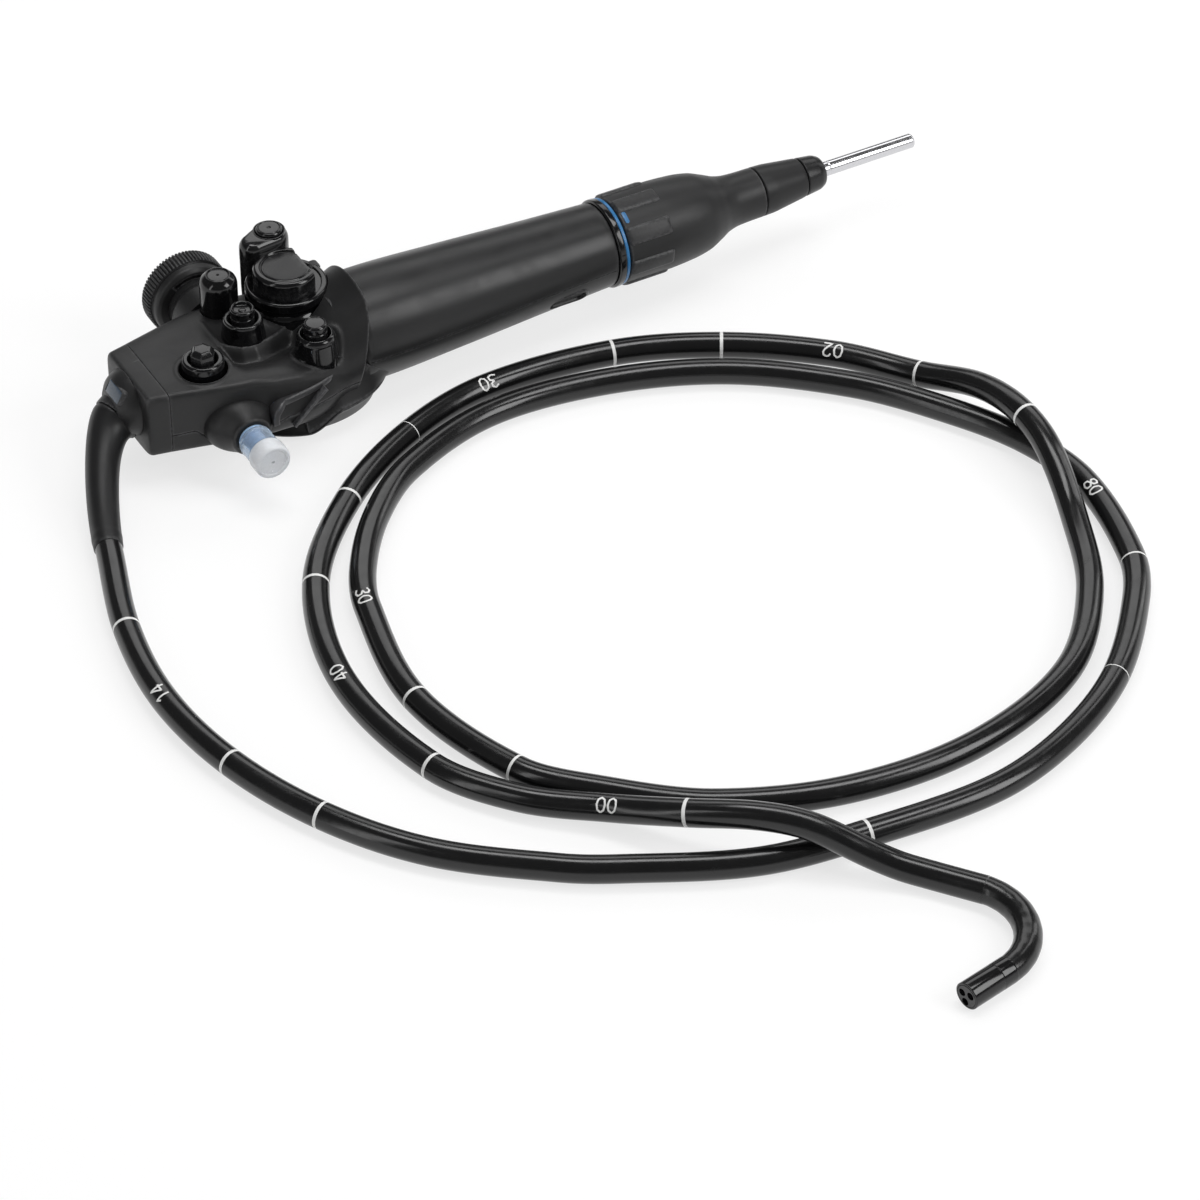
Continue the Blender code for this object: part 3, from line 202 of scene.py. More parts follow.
def fix(piece, body, slot, *nodes):
    """Puts a piece on its body, in place of the given nodes. The slot is not used."""
    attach(piece, body)
    if nodes:
        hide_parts(*nodes)
    return piece


def smooth(xs, ys, x):
    """A curve through the points that doesn't swing past them."""
    xs, ys = np.asarray(xs, float), np.asarray(ys, float)
    steps = np.diff(xs)
    slopes = np.diff(ys) / steps
    ends = np.zeros(len(xs))
    product = slopes[:-1] * slopes[1:]
    total = np.where(product > 0, slopes[:-1] + slopes[1:], 1.0)
    ends[1:-1] = np.where(product > 0, 2 * product / total, 0.0)
    ends[0], ends[-1] = slopes[0], slopes[-1]
    x = np.clip(x, xs[0], xs[-1])
    k = np.clip(np.searchsorted(xs, x) - 1, 0, len(steps) - 1)
    t = (x - xs[k]) / steps[k]
    return ((2 * t ** 3 - 3 * t ** 2 + 1) * ys[k] + (t ** 3 - 2 * t ** 2 + t) * steps[k] * ends[k]
            + (3 * t ** 2 - 2 * t ** 3) * ys[k + 1] + (t ** 3 - t ** 2) * steps[k] * ends[k + 1])


def ease(value, low, high):
    t = np.clip((value - low) / (high - low), 0, 1)
    return t * t * (3 - 2 * t)


def pill(one, two, radius_one, radius_two, steps=24):
    """Outline of two arcs about two centres, joined by straight sides."""
    heading = math.atan2(two[1] - one[1], two[0] - one[0])
    points = []
    for centre, radius, start in ((two, radius_two, heading - math.pi / 2),
                                  (one, radius_one, heading + math.pi / 2)):
        for k in range(steps + 1):
            angle = start + math.pi * k / steps
            points.append((centre[0] + radius * math.cos(angle), centre[1] + radius * math.sin(angle)))
    return np.array(points)


def sweep(name, path, radii, material, sides=64, ends=(None, None)):
    """A round solid along a path."""
    path = np.asarray(path, float)
    aims = np.gradient(path, axis=0)
    for k, given in zip((0, -1), ends):
        if given is not None:
            aims[k] = given
    aims /= np.linalg.norm(aims, axis=1)[:, None]
    side = np.cross(aims, (0, 0, 1))
    side /= np.linalg.norm(side, axis=1)[:, None]
    lift = np.cross(side, aims)
    return loft(name, [ring(*given, sides) for given in zip(path, radii, side, lift)], material)


def radial(degrees):
    """Directions outwards from the handle's axis and across, at an angle from the far side upwards."""
    c, s = math.cos(math.radians(degrees)), math.sin(math.radians(degrees))
    return np.array((0, c, s)), np.array((0, -s, c))


# Shader helpers.

def node(tree, kind, inputs=None, **settings):
    """A node whose inputs are linked or set by name or number."""
    made = tree.nodes.new(kind)
    for key, value in settings.items():
        setattr(made, key, value)
    for key, value in (inputs or {}).items():
        if isinstance(value, bpy.types.NodeSocket):
            tree.links.new(value, made.inputs[key])
        else:
            made.inputs[key].default_value = value
    return made


def group(name, inputs, outputs):
    """An empty node group with the given sockets."""
    tree = bpy.data.node_groups.new(name, "ShaderNodeTree")
    for label, kind in inputs:
        tree.interface.new_socket(label, in_out="INPUT", socket_type="NodeSocket" + kind)
    for label, kind in outputs:
        tree.interface.new_socket(label, in_out="OUTPUT", socket_type="NodeSocket" + kind)
    return tree, tree.nodes.new("NodeGroupInput").outputs, tree.nodes.new("NodeGroupOutput").inputs


def math_node(tree, operation, one, two=0.0, three=0.0, clamp=False):
    return node(tree, "ShaderNodeMath", {0: one, 1: two, 2: three}, operation=operation,
                use_clamp=clamp).outputs[0]


def millimetres(tree):
    place = node(tree, "ShaderNodeTexCoord").outputs["Object"]
    return node(tree, "ShaderNodeVectorMath", {0: place, "Scale": 1000.0}, operation="SCALE").outputs[0]


def noise(tree, vector, scale, detail=2.0, rough=0.5, distort=0.0):
    made = node(tree, "ShaderNodeTexNoise", {"Vector": vector, "Scale": scale, "Detail": detail,
                                             "Roughness": rough, "Distortion": distort})
    return made.outputs["Fac"]


def spread(tree, value, low, high, start, end):
    return node(tree, "ShaderNodeMapRange", {"Value": value, "From Min": low, "From Max": high,
                                             "To Min": start, "To Max": end}, clamp=True).outputs["Result"]


def mix(tree, share, one, two):
    return node(tree, "ShaderNodeMix", {0: share, 6: one, 7: two}, data_type="RGBA").outputs[2]


def finish_group():
    """Moulded or painted surface: fine grain, handling smudges, a little dust, and lighter edges that are
    partly abrasion and partly a painted highlight.
    """
    tree, given, out = group("surface_finish", (
        ("Colour", "Color"), ("Roughness", "Float"), ("Grain Size", "Float"), ("Smudge", "Float"),
        ("Dust", "Float"), ("Edge Abrasion And Highlight", "Float")), (("Colour", "Color"), ("Roughness", "Float"),
                                                ("Height", "Float")))
    place = millimetres(tree)
    scale = math_node(tree, "DIVIDE", 1.0, given["Grain Size"])
    grain = noise(tree, place, scale, 3.0, 0.55)
    cells = node(tree, "ShaderNodeTexVoronoi", {"Vector": place, "Scale": scale}).outputs["Distance"]
    height = math_node(tree, "MULTIPLY_ADD", cells, 0.5, grain)
    hands = spread(tree, noise(tree, place, 0.07, 4.0, 0.6, 0.8), 0.42, 0.68, -0.5, 1.0)
    streak = node(tree, "ShaderNodeVectorMath", {0: place, 1: (0.03, 0.25, 0.25)},
                  operation="MULTIPLY").outputs[0]
    wiped = spread(tree, noise(tree, streak, 1.0, 3.0, 0.5, 0.4), 0.45, 0.75, 0.0, 0.6)
    marks = math_node(tree, "ADD", hands, wiped)
    rough = math_node(tree, "MULTIPLY_ADD", marks, given["Smudge"], given["Roughness"])
    rough = math_node(tree, "MULTIPLY_ADD", math_node(tree, "SUBTRACT", grain, 0.5), 0.15, rough, clamp=True)
    # Lighter edges found by pointiness: partly abrasion, partly a painted highlight where light would catch
    # the rounded edges.
    edge = spread(tree, node(tree, "ShaderNodeNewGeometry").outputs["Pointiness"], 0.515, 0.56, 0.0, 1.0)
    broken = spread(tree, noise(tree, place, 0.9, 3.0), 0.35, 0.6, 0.25, 1.0)
    abraded_and_highlighted = math_node(tree, "MULTIPLY", math_node(tree, "MULTIPLY", edge, broken), given["Edge Abrasion And Highlight"])
    specks = spread(tree, noise(tree, place, 3.3, 2.0, 0.7), 0.68, 0.78, 0.0, 1.0)
    fallen = spread(tree, node(tree, "ShaderNodeSeparateXYZ", {0: node(
        tree, "ShaderNodeNewGeometry").outputs["Normal"]}).outputs[2], 0.2, 0.9, 0.1, 1.0)
    dust = math_node(tree, "MULTIPLY", math_node(tree, "MULTIPLY", specks, fallen), given["Dust"])
    tone = mix(tree, spread(tree, grain, 0.3, 0.7, 0.0, 0.08), given["Colour"], (0.0, 0.0, 0.0, 1.0))
    # Edges mixed towards a lighter grey: abrasion and painted highlight.
    tone = mix(tree, abraded_and_highlighted, tone, (0.16, 0.16, 0.165, 1.0))
    tone = mix(tree, dust, tone, (0.35, 0.34, 0.33, 1.0))
    for key, value in (("Colour", tone), ("Roughness", rough), ("Height", height)):
        tree.links.new(value, out[key])
    return tree


FINISH = finish_group()


def plastic(name, colour, roughness, grain=0.5, depth=0.004, smudge=0.04, dust=0.08, edge_abrasion_and_highlight=0.35, coat=0.0,
            **more):
    """A material with the shared finish, whose lighter edges are partly a painted highlight. Grain and depth
    are in millimetres.
    """
    made = bpy.data.materials.new(name)
    made.use_nodes = True
    tree = made.node_tree
    shader = tree.nodes["Principled BSDF"]
    finish = node(tree, "ShaderNodeGroup", node_tree=FINISH)
    for key, value in (("Colour", (*colour, 1.0)), ("Roughness", roughness), ("Grain Size", grain),
                       ("Smudge", smudge), ("Dust", dust), ("Edge Abrasion And Highlight", edge_abrasion_and_highlight)):
        finish.inputs[key].default_value = value
    tree.links.new(finish.outputs["Colour"], shader.inputs["Base Color"])
    tree.links.new(finish.outputs["Roughness"], shader.inputs["Roughness"])
    bump = node(tree, "ShaderNodeBump", {"Height": finish.outputs["Height"], "Distance": depth * MM,
                                         "Strength": 1.0})
    tree.links.new(bump.outputs[0], shader.inputs["Normal"])
    shader.inputs["Coat Weight"].default_value = coat
    shader.inputs["Coat Roughness"].default_value = 0.08
    made.diffuse_color = (*colour, 1.0)
    for key, value in more.items():
        shader.inputs[key.replace("_", " ")].default_value = value
    return made


SHELL = plastic("shell_plastic", (0.014, 0.014, 0.0145), 0.42, 0.42, 0.005, smudge=0.05,
                Specular_IOR_Level=0.35)
GRIP = plastic("grip_plastic", (0.013, 0.013, 0.0135), 0.34, 0.38, 0.004, smudge=0.06,
               Specular_IOR_Level=0.36)
GLOSS = plastic("button_gloss", (0.004, 0.004, 0.0045), 0.13, 0.9, 0.0004, smudge=0.03, dust=0.01, edge_abrasion_and_highlight=0.12,
                coat=0.25, Specular_IOR_Level=0.35)
SATIN = plastic("button_satin", (0.007, 0.007, 0.0075), 0.3, 0.3, 0.002, smudge=0.05, dust=0.03, edge_abrasion_and_highlight=0.2,
                Specular_IOR_Level=0.4)
TUBE = plastic("tube_sheath", (0.006, 0.006, 0.0063), 0.2, 2.5, 0.002, smudge=0.05, dust=0.02, edge_abrasion_and_highlight=0.0,
               coat=0.15, Specular_IOR_Level=0.45)
MARK = plastic("tube_marking", (0.78, 0.78, 0.77), 0.4, 0.3, 0.001, smudge=0.05, dust=0.0, edge_abrasion_and_highlight=0.0)
RUBBER = plastic("boot_rubber", (0.012, 0.012, 0.0125), 0.4, 0.35, 0.005, smudge=0.05, edge_abrasion_and_highlight=0.2,
                 Specular_IOR_Level=0.32)
SKIN = plastic("bending_rubber", (0.006, 0.006, 0.0063), 0.22, 1.6, 0.002, smudge=0.04, dust=0.01, edge_abrasion_and_highlight=0.0,
               coat=0.1, Specular_IOR_Level=0.45)
STEEL = plastic("polished_steel", (0.66, 0.66, 0.68), 0.14, 0.8, 0.0004, smudge=0.08, dust=0.02, edge_abrasion_and_highlight=0.0,
                Metallic=1.0)
INNER = plastic("machined_alloy", (0.34, 0.35, 0.37), 0.36, 0.5, 0.002, smudge=0.08, edge_abrasion_and_highlight=0.4, Metallic=1.0)
BLUE = plastic("blue_plastic", (0.012, 0.14, 0.34), 0.3, 0.4, 0.001, smudge=0.04, dust=0.02, edge_abrasion_and_highlight=0.1)
BRACKET = plastic("bracket_grey", (0.03, 0.03, 0.032), 0.36, 0.35, 0.003, smudge=0.05, edge_abrasion_and_highlight=0.5)
WINDOW = plastic("smoked_window", (0.028, 0.05, 0.08), 0.16, 1.2, 0.0004, smudge=0.05, dust=0.03, edge_abrasion_and_highlight=0.2,
                 coat=0.3)
GLASS = plastic("lens_glass", (0.012, 0.014, 0.022), 0.05, 2.0, 0.0002, smudge=0.02, dust=0.0, edge_abrasion_and_highlight=0.0,
                coat=1.0)
BOARD = plastic("circuit_board", (0.01, 0.12, 0.05), 0.35, 0.8, 0.02, smudge=0.05, edge_abrasion_and_highlight=0.2)
CLEAR = plastic("frosted_cap", (0.96, 0.975, 1.0), 0.22, 0.9, 0.002, smudge=0.03, dust=0.0, edge_abrasion_and_highlight=0.0,
                Transmission_Weight=0.36, IOR=1.38)
SKIRT = plastic("cap_skirt", (0.72, 0.84, 0.98), 0.15, 0.9, 0.002, smudge=0.03, dust=0.0, edge_abrasion_and_highlight=0.0,
                Transmission_Weight=0.8, IOR=1.3)
NOZZLE = plastic("nozzle_plastic", (0.34, 0.50, 0.70), 0.3, 0.5, 0.002, smudge=0.04, dust=0.0, edge_abrasion_and_highlight=0.0)


# The free tube.

ROUTE = (
    (-45.0, -90.6, 0), (-49.8, -130.8, 0), (-44.5, -170.6, 0), (-29.7, -209.3, 0), (-7.1, -242.2, 0),
    (26.4, -270.0, 0), (43.0, -280.0, 0), (84.9, -299.5, 0), (123.4, -305.5, 0), (172.0, -307.5, 0),
    (206.5, -298.1, 0), (239.0, -279.2, 0), (267.4, -249.4, 0), (279.5, -229.0, 0), (288.4, -185.8, 0),
    (283.0, -155.0, 0), (268.0, -126.0, 0), (245.7, -96.0, 0), (209.5, -66.5, 0), (166.3, -49.8, 0),
    (121.7, -46.0, 0), (81.7, -59.6, 0), (58.9, -78.0, 0), (41.6, -101.0, 0), (32.9, -121.0, 0),
    (24.7, -171.7, 0), (37.8, -221.3, 0), (56.6, -243.2, 0), (86.3, -267.6, 0), (129.3, -283.9, 0),
    (178.1, -285.6, 0), (225.6, -269.2, 0), (256.5, -237.0, 0),
    (273.4, -200.8, 2.0), (280.6, -172.0, 10.4), (282.0, -150.0, 12.0), (279.5, -128.0, 8.5),
    (270.0, -103.9, 1.0), (250.1, -77.3, 0), (216.6, -52.1, 0), (178.4, -36.1, 0), (128.5, -31.4, 0),
    (90.6, -42.0, 0), (54.2, -65.1, 0), (22.7, -101.6, 0), (7.4, -151.8, 0), (13.4, -205.2, 0),
    (30.9, -233.9, 0.5), (53.5, -255.0, 2.5), (70.8, -275.7, 9.0), (88.5, -292.5, 13.0),
    (101.0, -304.5, 12.4), (115.8, -318.4, 4.5), (123.1, -325.3, 1.3), (130.0, -332.3, 0),
)
TUBE_RADIUS = 4.9
TUBE_H = 4.95 - AXIS
BOOT_END = np.array((-32.2, -49.2, 5.8 - AXIS))
BOOT_END_AIM = np.array((-0.3, -0.95, -0.02))
BEND_START = np.array((142.1, -347.6, TUBE_H))
BEND_AIM = math.radians(-56.6)
# Distance along the tube of each white band, and of each number with what it says; -1 turns it upside down.
BANDS = (43, 124, 165, 353, 476, 538, 1000, 1050, 1397, 1452, 1528, 1569, 1659, 1702, 1751, 1858, 1951)
NUMBERS = ((84, "14", 1), (577, "80", 1), (947, "30", -1), (1486, "02", -1), (1620, "30", -1),
           (1804, "40", 1), (1923, "00", 1))
BAND_WIDTH = 1.2


def tube_path():
    """Close points along the smooth curve through the route, with the distance walked to each."""
    own = [BOOT_END + BOOT_END_AIM * 0.3]
    own += [np.array((x, y, TUBE_H + z)) for x, y, z in ROUTE]
    own.append(BEND_START)
    fine = []
    for k in range(len(own) - 1):
        before, one, two, after = own[max(k - 1, 0)], own[k], own[k + 1], own[min(k + 2, len(own) - 1)]
        span = np.linalg.norm(two - one)
        pull_one = (two - before) * span / (span + np.linalg.norm(one - before))
        pull_two = (after - one) * span / (span + np.linalg.norm(after - two))
        for t in np.arange(24) / 24:
            fine.append((2 * t ** 3 - 3 * t ** 2 + 1) * one + (t ** 3 - 2 * t ** 2 + t) * pull_one
                        + (3 * t ** 2 - 2 * t ** 3) * two + (t ** 3 - t ** 2) * pull_two)
    fine = np.array(fine + [own[-1]])
    walked = np.concatenate(([0], np.cumsum(np.linalg.norm(np.diff(fine, axis=0), axis=1))))
    return fine, walked


def frames_at(distances):
    """Centre, aim, sideways and upward directions of the tube at distances along it."""
    centre = np.stack([np.interp(distances, WALKED, PATH[:, i]) for i in range(3)], axis=1)
    back = np.stack([np.interp(np.array(distances) - 3, WALKED, PATH[:, i]) for i in range(3)], axis=1)
    ahead = np.stack([np.interp(np.array(distances) + 3, WALKED, PATH[:, i]) for i in range(3)], axis=1)
    aim = ahead - back
    aim /= np.linalg.norm(aim, axis=1)[:, None]
    side = np.cross(aim, (0, 0, 1))
    side /= np.linalg.norm(side, axis=1)[:, None]
    return centre, aim, side, np.cross(side, aim)


PATH, WALKED = tube_path()


def make_tube():
    """The free tube in one skin, with white bands as stretches of its own faces."""
    sides = 28
    stops = sorted(set(np.arange(0, WALKED[-1] - 1.5, 2.6).tolist())
                   | {b + BAND_WIDTH * s for b in BANDS for s in (-0.5, 0.5)} | {float(WALKED[-1])})
    centre, _, side, lift = frames_at(stops)
    rings = [ring(c, TUBE_RADIUS, up, across, sides) for c, up, across in zip(centre, lift, side)]
    tube = loft("tube_skin", rings, TUBE, sharp=60)
    tube.data.materials.append(MARK)
    marked = {k for k, stop in enumerate(stops) for b in BANDS if abs(stop + BAND_WIDTH / 2 - b) < 1e-6}
    for face in tube.data.polygons:
        if len(face.vertices) == 4 and min(face.vertices) // sides in marked:
            face.material_index = 1
    return fix(tube, "handle", "tube", "insertion_tube")


# Digits as strokes in a box one unit high, each a row of points.
DIGITS = {
    "0": [[(0.30, 1.0), (0.08, 0.85), (0.0, 0.5), (0.08, 0.15), (0.30, 0.0), (0.52, 0.15), (0.6, 0.5),
           (0.52, 0.85), (0.30, 1.0)]],
    "1": [[(0.12, 0.78), (0.38, 1.0), (0.38, 0.0)]],
    "2": [[(0.02, 0.78), (0.12, 0.95), (0.30, 1.0), (0.50, 0.93), (0.57, 0.74), (0.48, 0.52), (0.0, 0.0),
           (0.6, 0.0)]],
    "3": [[(0.03, 0.86), (0.28, 1.0), (0.53, 0.88), (0.53, 0.65), (0.26, 0.53), (0.56, 0.40), (0.57, 0.13),
           (0.28, 0.0), (0.0, 0.13)]],
    "4": [[(0.46, 0.0), (0.46, 1.0), (0.0, 0.32), (0.62, 0.32)]],
    "8": [[(0.30, 0.53), (0.06, 0.66), (0.07, 0.90), (0.30, 1.0), (0.53, 0.90), (0.54, 0.66), (0.30, 0.53),
           (0.02, 0.38), (0.03, 0.11), (0.30, 0.0), (0.57, 0.11), (0.58, 0.38), (0.30, 0.53)]],
}


def make_number(index, distance, text, flip, camera_way):
    """Two digits as thin raised ribbons that follow the tube, facing the given way."""
    high, wide, half = 5.2, 4.2, 0.34
    _, aim, side, lift = frames_at([distance])
    facing = camera_way - aim[0] * (camera_way @ aim[0])
    turn = math.atan2(facing @ side[0], facing @ lift[0]) * 0.75
    points, faces = [], []
    for place, digit in enumerate(text):
        for stroke in DIGITS[digit]:
            line = []
            for a, b in zip(stroke, stroke[1:]):
                steps = max(2, int(math.dist(a, b) * high / 0.25))
                line += [(a[0] + (b[0] - a[0]) * s / steps,
                          a[1] + (b[1] - a[1]) * s / steps) for s in range(steps)]
            line = np.array(line + [stroke[-1]]) * high
            line[:, 0] += (place - 1) * wide + 0.5
            line[:, 1] -= high / 2
            way = np.gradient(line, axis=0)
            way /= np.linalg.norm(way, axis=1)[:, None] + 1e-9
            out = np.stack((-way[:, 1], way[:, 0]), axis=1)
            start = len(points)
            for rise, share in ((-0.15, -1), (0.05, -1), (0.05, 1), (-0.15, 1)):
                flat = (line + out * half * share) * flip
                centre, _, sideways, upward = frames_at(distance - flat[:, 0])
                angle = turn + flat[:, 1] / TUBE_RADIUS
                radius = TUBE_RADIUS + rise
                around = np.cos(angle)[:, None] * upward + np.sin(angle)[:, None] * sideways
                points += list(centre + radius * around)
            count = len(line)
            for corner in range(4):
                low, high_row = start + corner * count, start + (corner + 1) % 4 * count
                faces += [(low + k, low + k + 1, high_row + k + 1, high_row + k) for k in range(count - 1)]
            faces += [tuple(start + corner * count + end for corner in range(4)) for end in (0, count - 1)]
    return fix(solid(f"tube_number_{index + 1}", points, faces, MARK, 30), "handle", "tube")


def make_bending_end():
    """Rubber skins from the middle of each link to the next, each bent over one joint, then the rigid tip."""
    pitch, bend = 5.0, math.radians(-12.44)
    skin_radius, swell = 4.78, 0.02

    def way(angle):
        return np.array((math.cos(angle), math.sin(angle), 0.0))

    headings = [BEND_AIM]
    joints = [BEND_START + pitch / 2 * way(BEND_AIM)]
    for _ in range(9):
        headings.append(headings[-1] + bend)
        joints.append(joints[-1] + pitch * way(headings[-1]))
    joints.pop()
    pieces = []
    shares = np.linspace(0, 1, 7)
    waist = [skin_radius + swell * math.cos(TAU * s) for s in shares]
    for k, joint in enumerate(joints):
        before, after = way(headings[k]), way(headings[k + 1])
        start, end = joint - before * (2.2 if k == 0 else pitch / 2), joint + after * pitch / 2
        path = [(1 - s) ** 2 * start + 2 * s * (1 - s) * joint + s ** 2 * end for s in shares]
        skin = sweep(f"bending_skin_{k + 1:02d}", path, waist, SKIN, 40, (before, after))
        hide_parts(*(["bend_base", "bend_link_01"] if k == 0 else
                            [f"bend_link_{k + 1:02d}"] if k < 8 else []))
        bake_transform(skin)
        pieces.append(skin)
    base, aim, up = joints[-1], way(headings[-1]), np.array((0, 0, 1))
    side = np.cross(aim, up)
    profile = rounded([(4.4, 0.3), (4.86, 1.9, 0.3), (4.86, 7.2, 0.1), (4.74, 7.35, 0.05), (4.86, 7.5, 0.1),
                       (4.86, 20.4, 0.6), (4.2, 20.5, 0.2), (4.05, 20.25, 0.1), (3.9, 20.5, 0.1)], 0.3)

    def along(centre, corners):
        """Rings across the tip, from radius and distance along it."""
        return [ring(centre + aim * x, radius, side, up, 64) for radius, x in corners]

    tip = loft("tip_housing", along(base, profile), GLOSS)
    # Camera, lamp and open channel: place across and up, radius, its glass and the node that it replaces.
    for across, rise, radius, glass, stands_for in (
            (-1.7, 1.2, 1.4, "lens_front", "objective_lens"), (2.0, 0.4, 1.35, "lamp_front", "light_lens"),
            (0.4, -2.6, 1.4, None, None)):
        centre = base + side * across + up * rise
        carve(tip, loft("hole", along(centre, ((radius, 17.8), (radius, 23.0))), GLOSS))
        if glass:
            front = along(centre, ((radius - 0.12, 17.9), (radius - 0.12, 18.9), (radius - 0.4, 19.15),
                                   (0.3, 19.3)))
            pieces.append(fix(loft(glass, front, GLASS, sharp=60), "tip", "glass", stands_for))
    pieces.append(fix(tip, "tip", "gloss", "distal_tip"))
    return pieces


# Head.

# The head's sections: x, half width, top, bottom, power of the rounded square, how far the near side sinks.
STATIONS = np.array((
    (0.0, 17.2, 12.0, -15.0, 9.0, 0.0), (8.0, 19.0, 12.1, -15.0, 9.0, 0.0),
    (18.0, 21.8, 12.2, -15.1, 8.0, 0.0), (28.0, 24.6, 12.3, -15.3, 7.0, 0.0),
    (38.0, 26.8, 12.5, -15.7, 6.0, 0.0), (47.0, 28.2, 13.0, -16.6, 5.0, 1.5),
    (55.0, 28.2, 13.6, -18.0, 4.2, 2.5), (62.0, 27.2, 14.5, -20.0, 3.4, 3.0),
    (68.0, 25.8, 15.0, -22.0, 2.8, 3.0), (73.0, 24.5, 15.9, -23.3, 2.3, 2.0),
    (77.0, 23.8, 17.2, -23.7, 2.1, 0.8), (80.0, 23.6, 18.6, -23.7, 2.05, 0.4),
    (83.0, 23.6, 20.6, -23.7, 2.0, 0.2), (85.5, 23.65, 22.5, -23.7, 2.0, 0.1),
    (87.0, 23.7, 23.7, -23.7, 2.0, 0.0)))
# Where the foot's side panel leaves the head and the grip, as x and h.
CREASE = np.array(((70, 8.5), (77, 4.8), (81, 2.3), (86, -1.9), (92, -6.9), (96, -11.0)))
# The seam between the shells: height on the far side, and x and h of its course on the near side.
SPLIT = -7.0
SEAM = np.array(((0, -5.8), (8, -6), (13, -5.6), (16, -5.3), (19, -7.6), (22, -9.5), (40, -9.5), (52, -7),
                 (87, -7)))
HEAD_TOP = 12.0                      # the height that the buttons' sleeves and the valve are measured from
HEX_AT = (25.5, -10.5)
RING_AT = (47.0, 0.6)
DOME_AT = (46.5, 19.0)
FRONT_AT = (67.7, -16.1)
VALVE_AT = (71.0, 13.5)
# Soft hollows in the head's top: x, y, reach in x, reach in y, depth.
DENTS = ((65, -18, 11, 10, 5.0), (66, -3, 9, 9, 5.5), (50, 3, 9, 8, 2.5))
# The lip about the ring button's shelf, as x and y.
LIP = np.array(((36.4, 14.0), (36.4, 8.0), (36.8, 0.0), (38.5, -3.2), (42.8, -7.0), (47.5, -7.7),
                (53.6, -5.7), (59.0, -2.8), (63.0, -0.5)))


def lip_distance(x, y):
    """Distance from the lip about the ring button, positive on the button's side."""
    best = np.full(np.shape(x), 1e9)
    sign = np.ones(np.shape(x))
    for (ax, ay), (bx, by) in zip(LIP, LIP[1:]):
        dx, dy = bx - ax, by - ay
        t = np.clip(((x - ax) * dx + (y - ay) * dy) / (dx * dx + dy * dy), 0, 1)
        away = np.hypot(x - ax - t * dx, y - ay - t * dy)
        closer = away < best
        best = np.where(closer, away, best)
        sign = np.where(closer, np.sign(dx * (y - ay) - dy * (x - ax)), sign)
    return best * sign


def head_section(x, grow=0.0, sides=1440):
    """The section at x as y and z: a rounded square whose near top edge is crisp as far as the flange."""
    half, top, bottom, power = (smooth(STATIONS[:, 0], STATIONS[:, k], x) for k in (1, 2, 3, 4))
    half, top, bottom = half + grow, top + grow, bottom - grow
    angle = np.arange(sides) * TAU / sides - math.pi / 2
    c, s = np.cos(angle), np.sin(angle)
    crisp = np.maximum(power, 14 - 12 * ease(x, 48, 76))
    power = np.where((c < 0) & (s > 0), crisp, power)
    reach = (np.abs(c) ** power + np.abs(s) ** power) ** (-1 / power)
    middle = (top + bottom) / 2
    return half * reach * c, middle + (top - middle) * reach * s


def placed(x, y, z, features=True):
    """Points of the head's skin at x, with the hollows in its top and the lean of its far end."""
    trough_depth, trough_wall, trough_fade = 4.4, 3.6, 5.5
    lip_rise, lip_width = 0.55, 0.55
    half, top, drop = (smooth(STATIONS[:, 0], STATIONS[:, k], x) for k in (1, 2, 5))
    lean = ease(x, 68, 87)
    forward = np.minimum(0.22 * z, 3.4) - 0.3 * np.maximum(0, -y - 12)
    sunk = drop * (np.maximum(0, -y) / half) ** 1.3
    for dent_x, dent_y, reach_x, reach_y, depth in DENTS:
        sunk = sunk + depth * np.exp(-((x - dent_x) / reach_x) ** 2 - ((y - dent_y) / reach_y) ** 2)
    if features:
        away = lip_distance(np.full_like(y, x), y)
        ends = ease(x, 35, 39) * ease(-x, -69, -61)
        front = ends * ease(-y, -6, 0) * ease(y, -25, -19)
        fade = np.exp(-(np.maximum(0, -away - trough_wall) / trough_fade) ** 2)
        sunk = sunk + front * trough_depth * ease(-away, 0.1, trough_wall) * fade
        sunk = sunk - ends * lip_rise * np.exp(-((away - 0.4) / lip_width) ** 2)
        for (at_x, at_y), radius, rise in ((FRONT_AT, 9.2, 0.5), (HEX_AT, 9.9, 0.3)):
            gap = np.hypot(x - at_x, y - at_y) - radius
            sunk = sunk - rise * np.exp(-(gap / 0.7) ** 2)
    z = z - np.where(z > 0, sunk * np.minimum(1.0, np.maximum(z, 0) / (0.8 * top)), 0)
    return np.stack((x + lean * forward, y, z), axis=-1)


def arc_of(x, upper, grow, count):
    """The part of the section above or below the split, from the near side to the far side, evenly spaced."""
    y, z = head_section(x, grow)
    split = np.where(y < 0, smooth(SEAM[:, 0], SEAM[:, 1], x), SPLIT)
    if upper:
        keep = np.where(z >= split + 0.12)[0][::-1]
    else:
        order = np.roll(np.arange(len(z)), len(z) // 2)
        keep = order[z[order] <= split[order] - 0.12]
    y, z = y[keep], z[keep]
    if y[0] > y[-1]:
        y, z = y[::-1], z[::-1]
    walked = np.concatenate(([0], np.cumsum(np.hypot(np.diff(y), np.diff(z)))))
    at = np.linspace(0, walked[-1], count)
    return np.interp(at, walked, y), np.interp(at, walked, z)


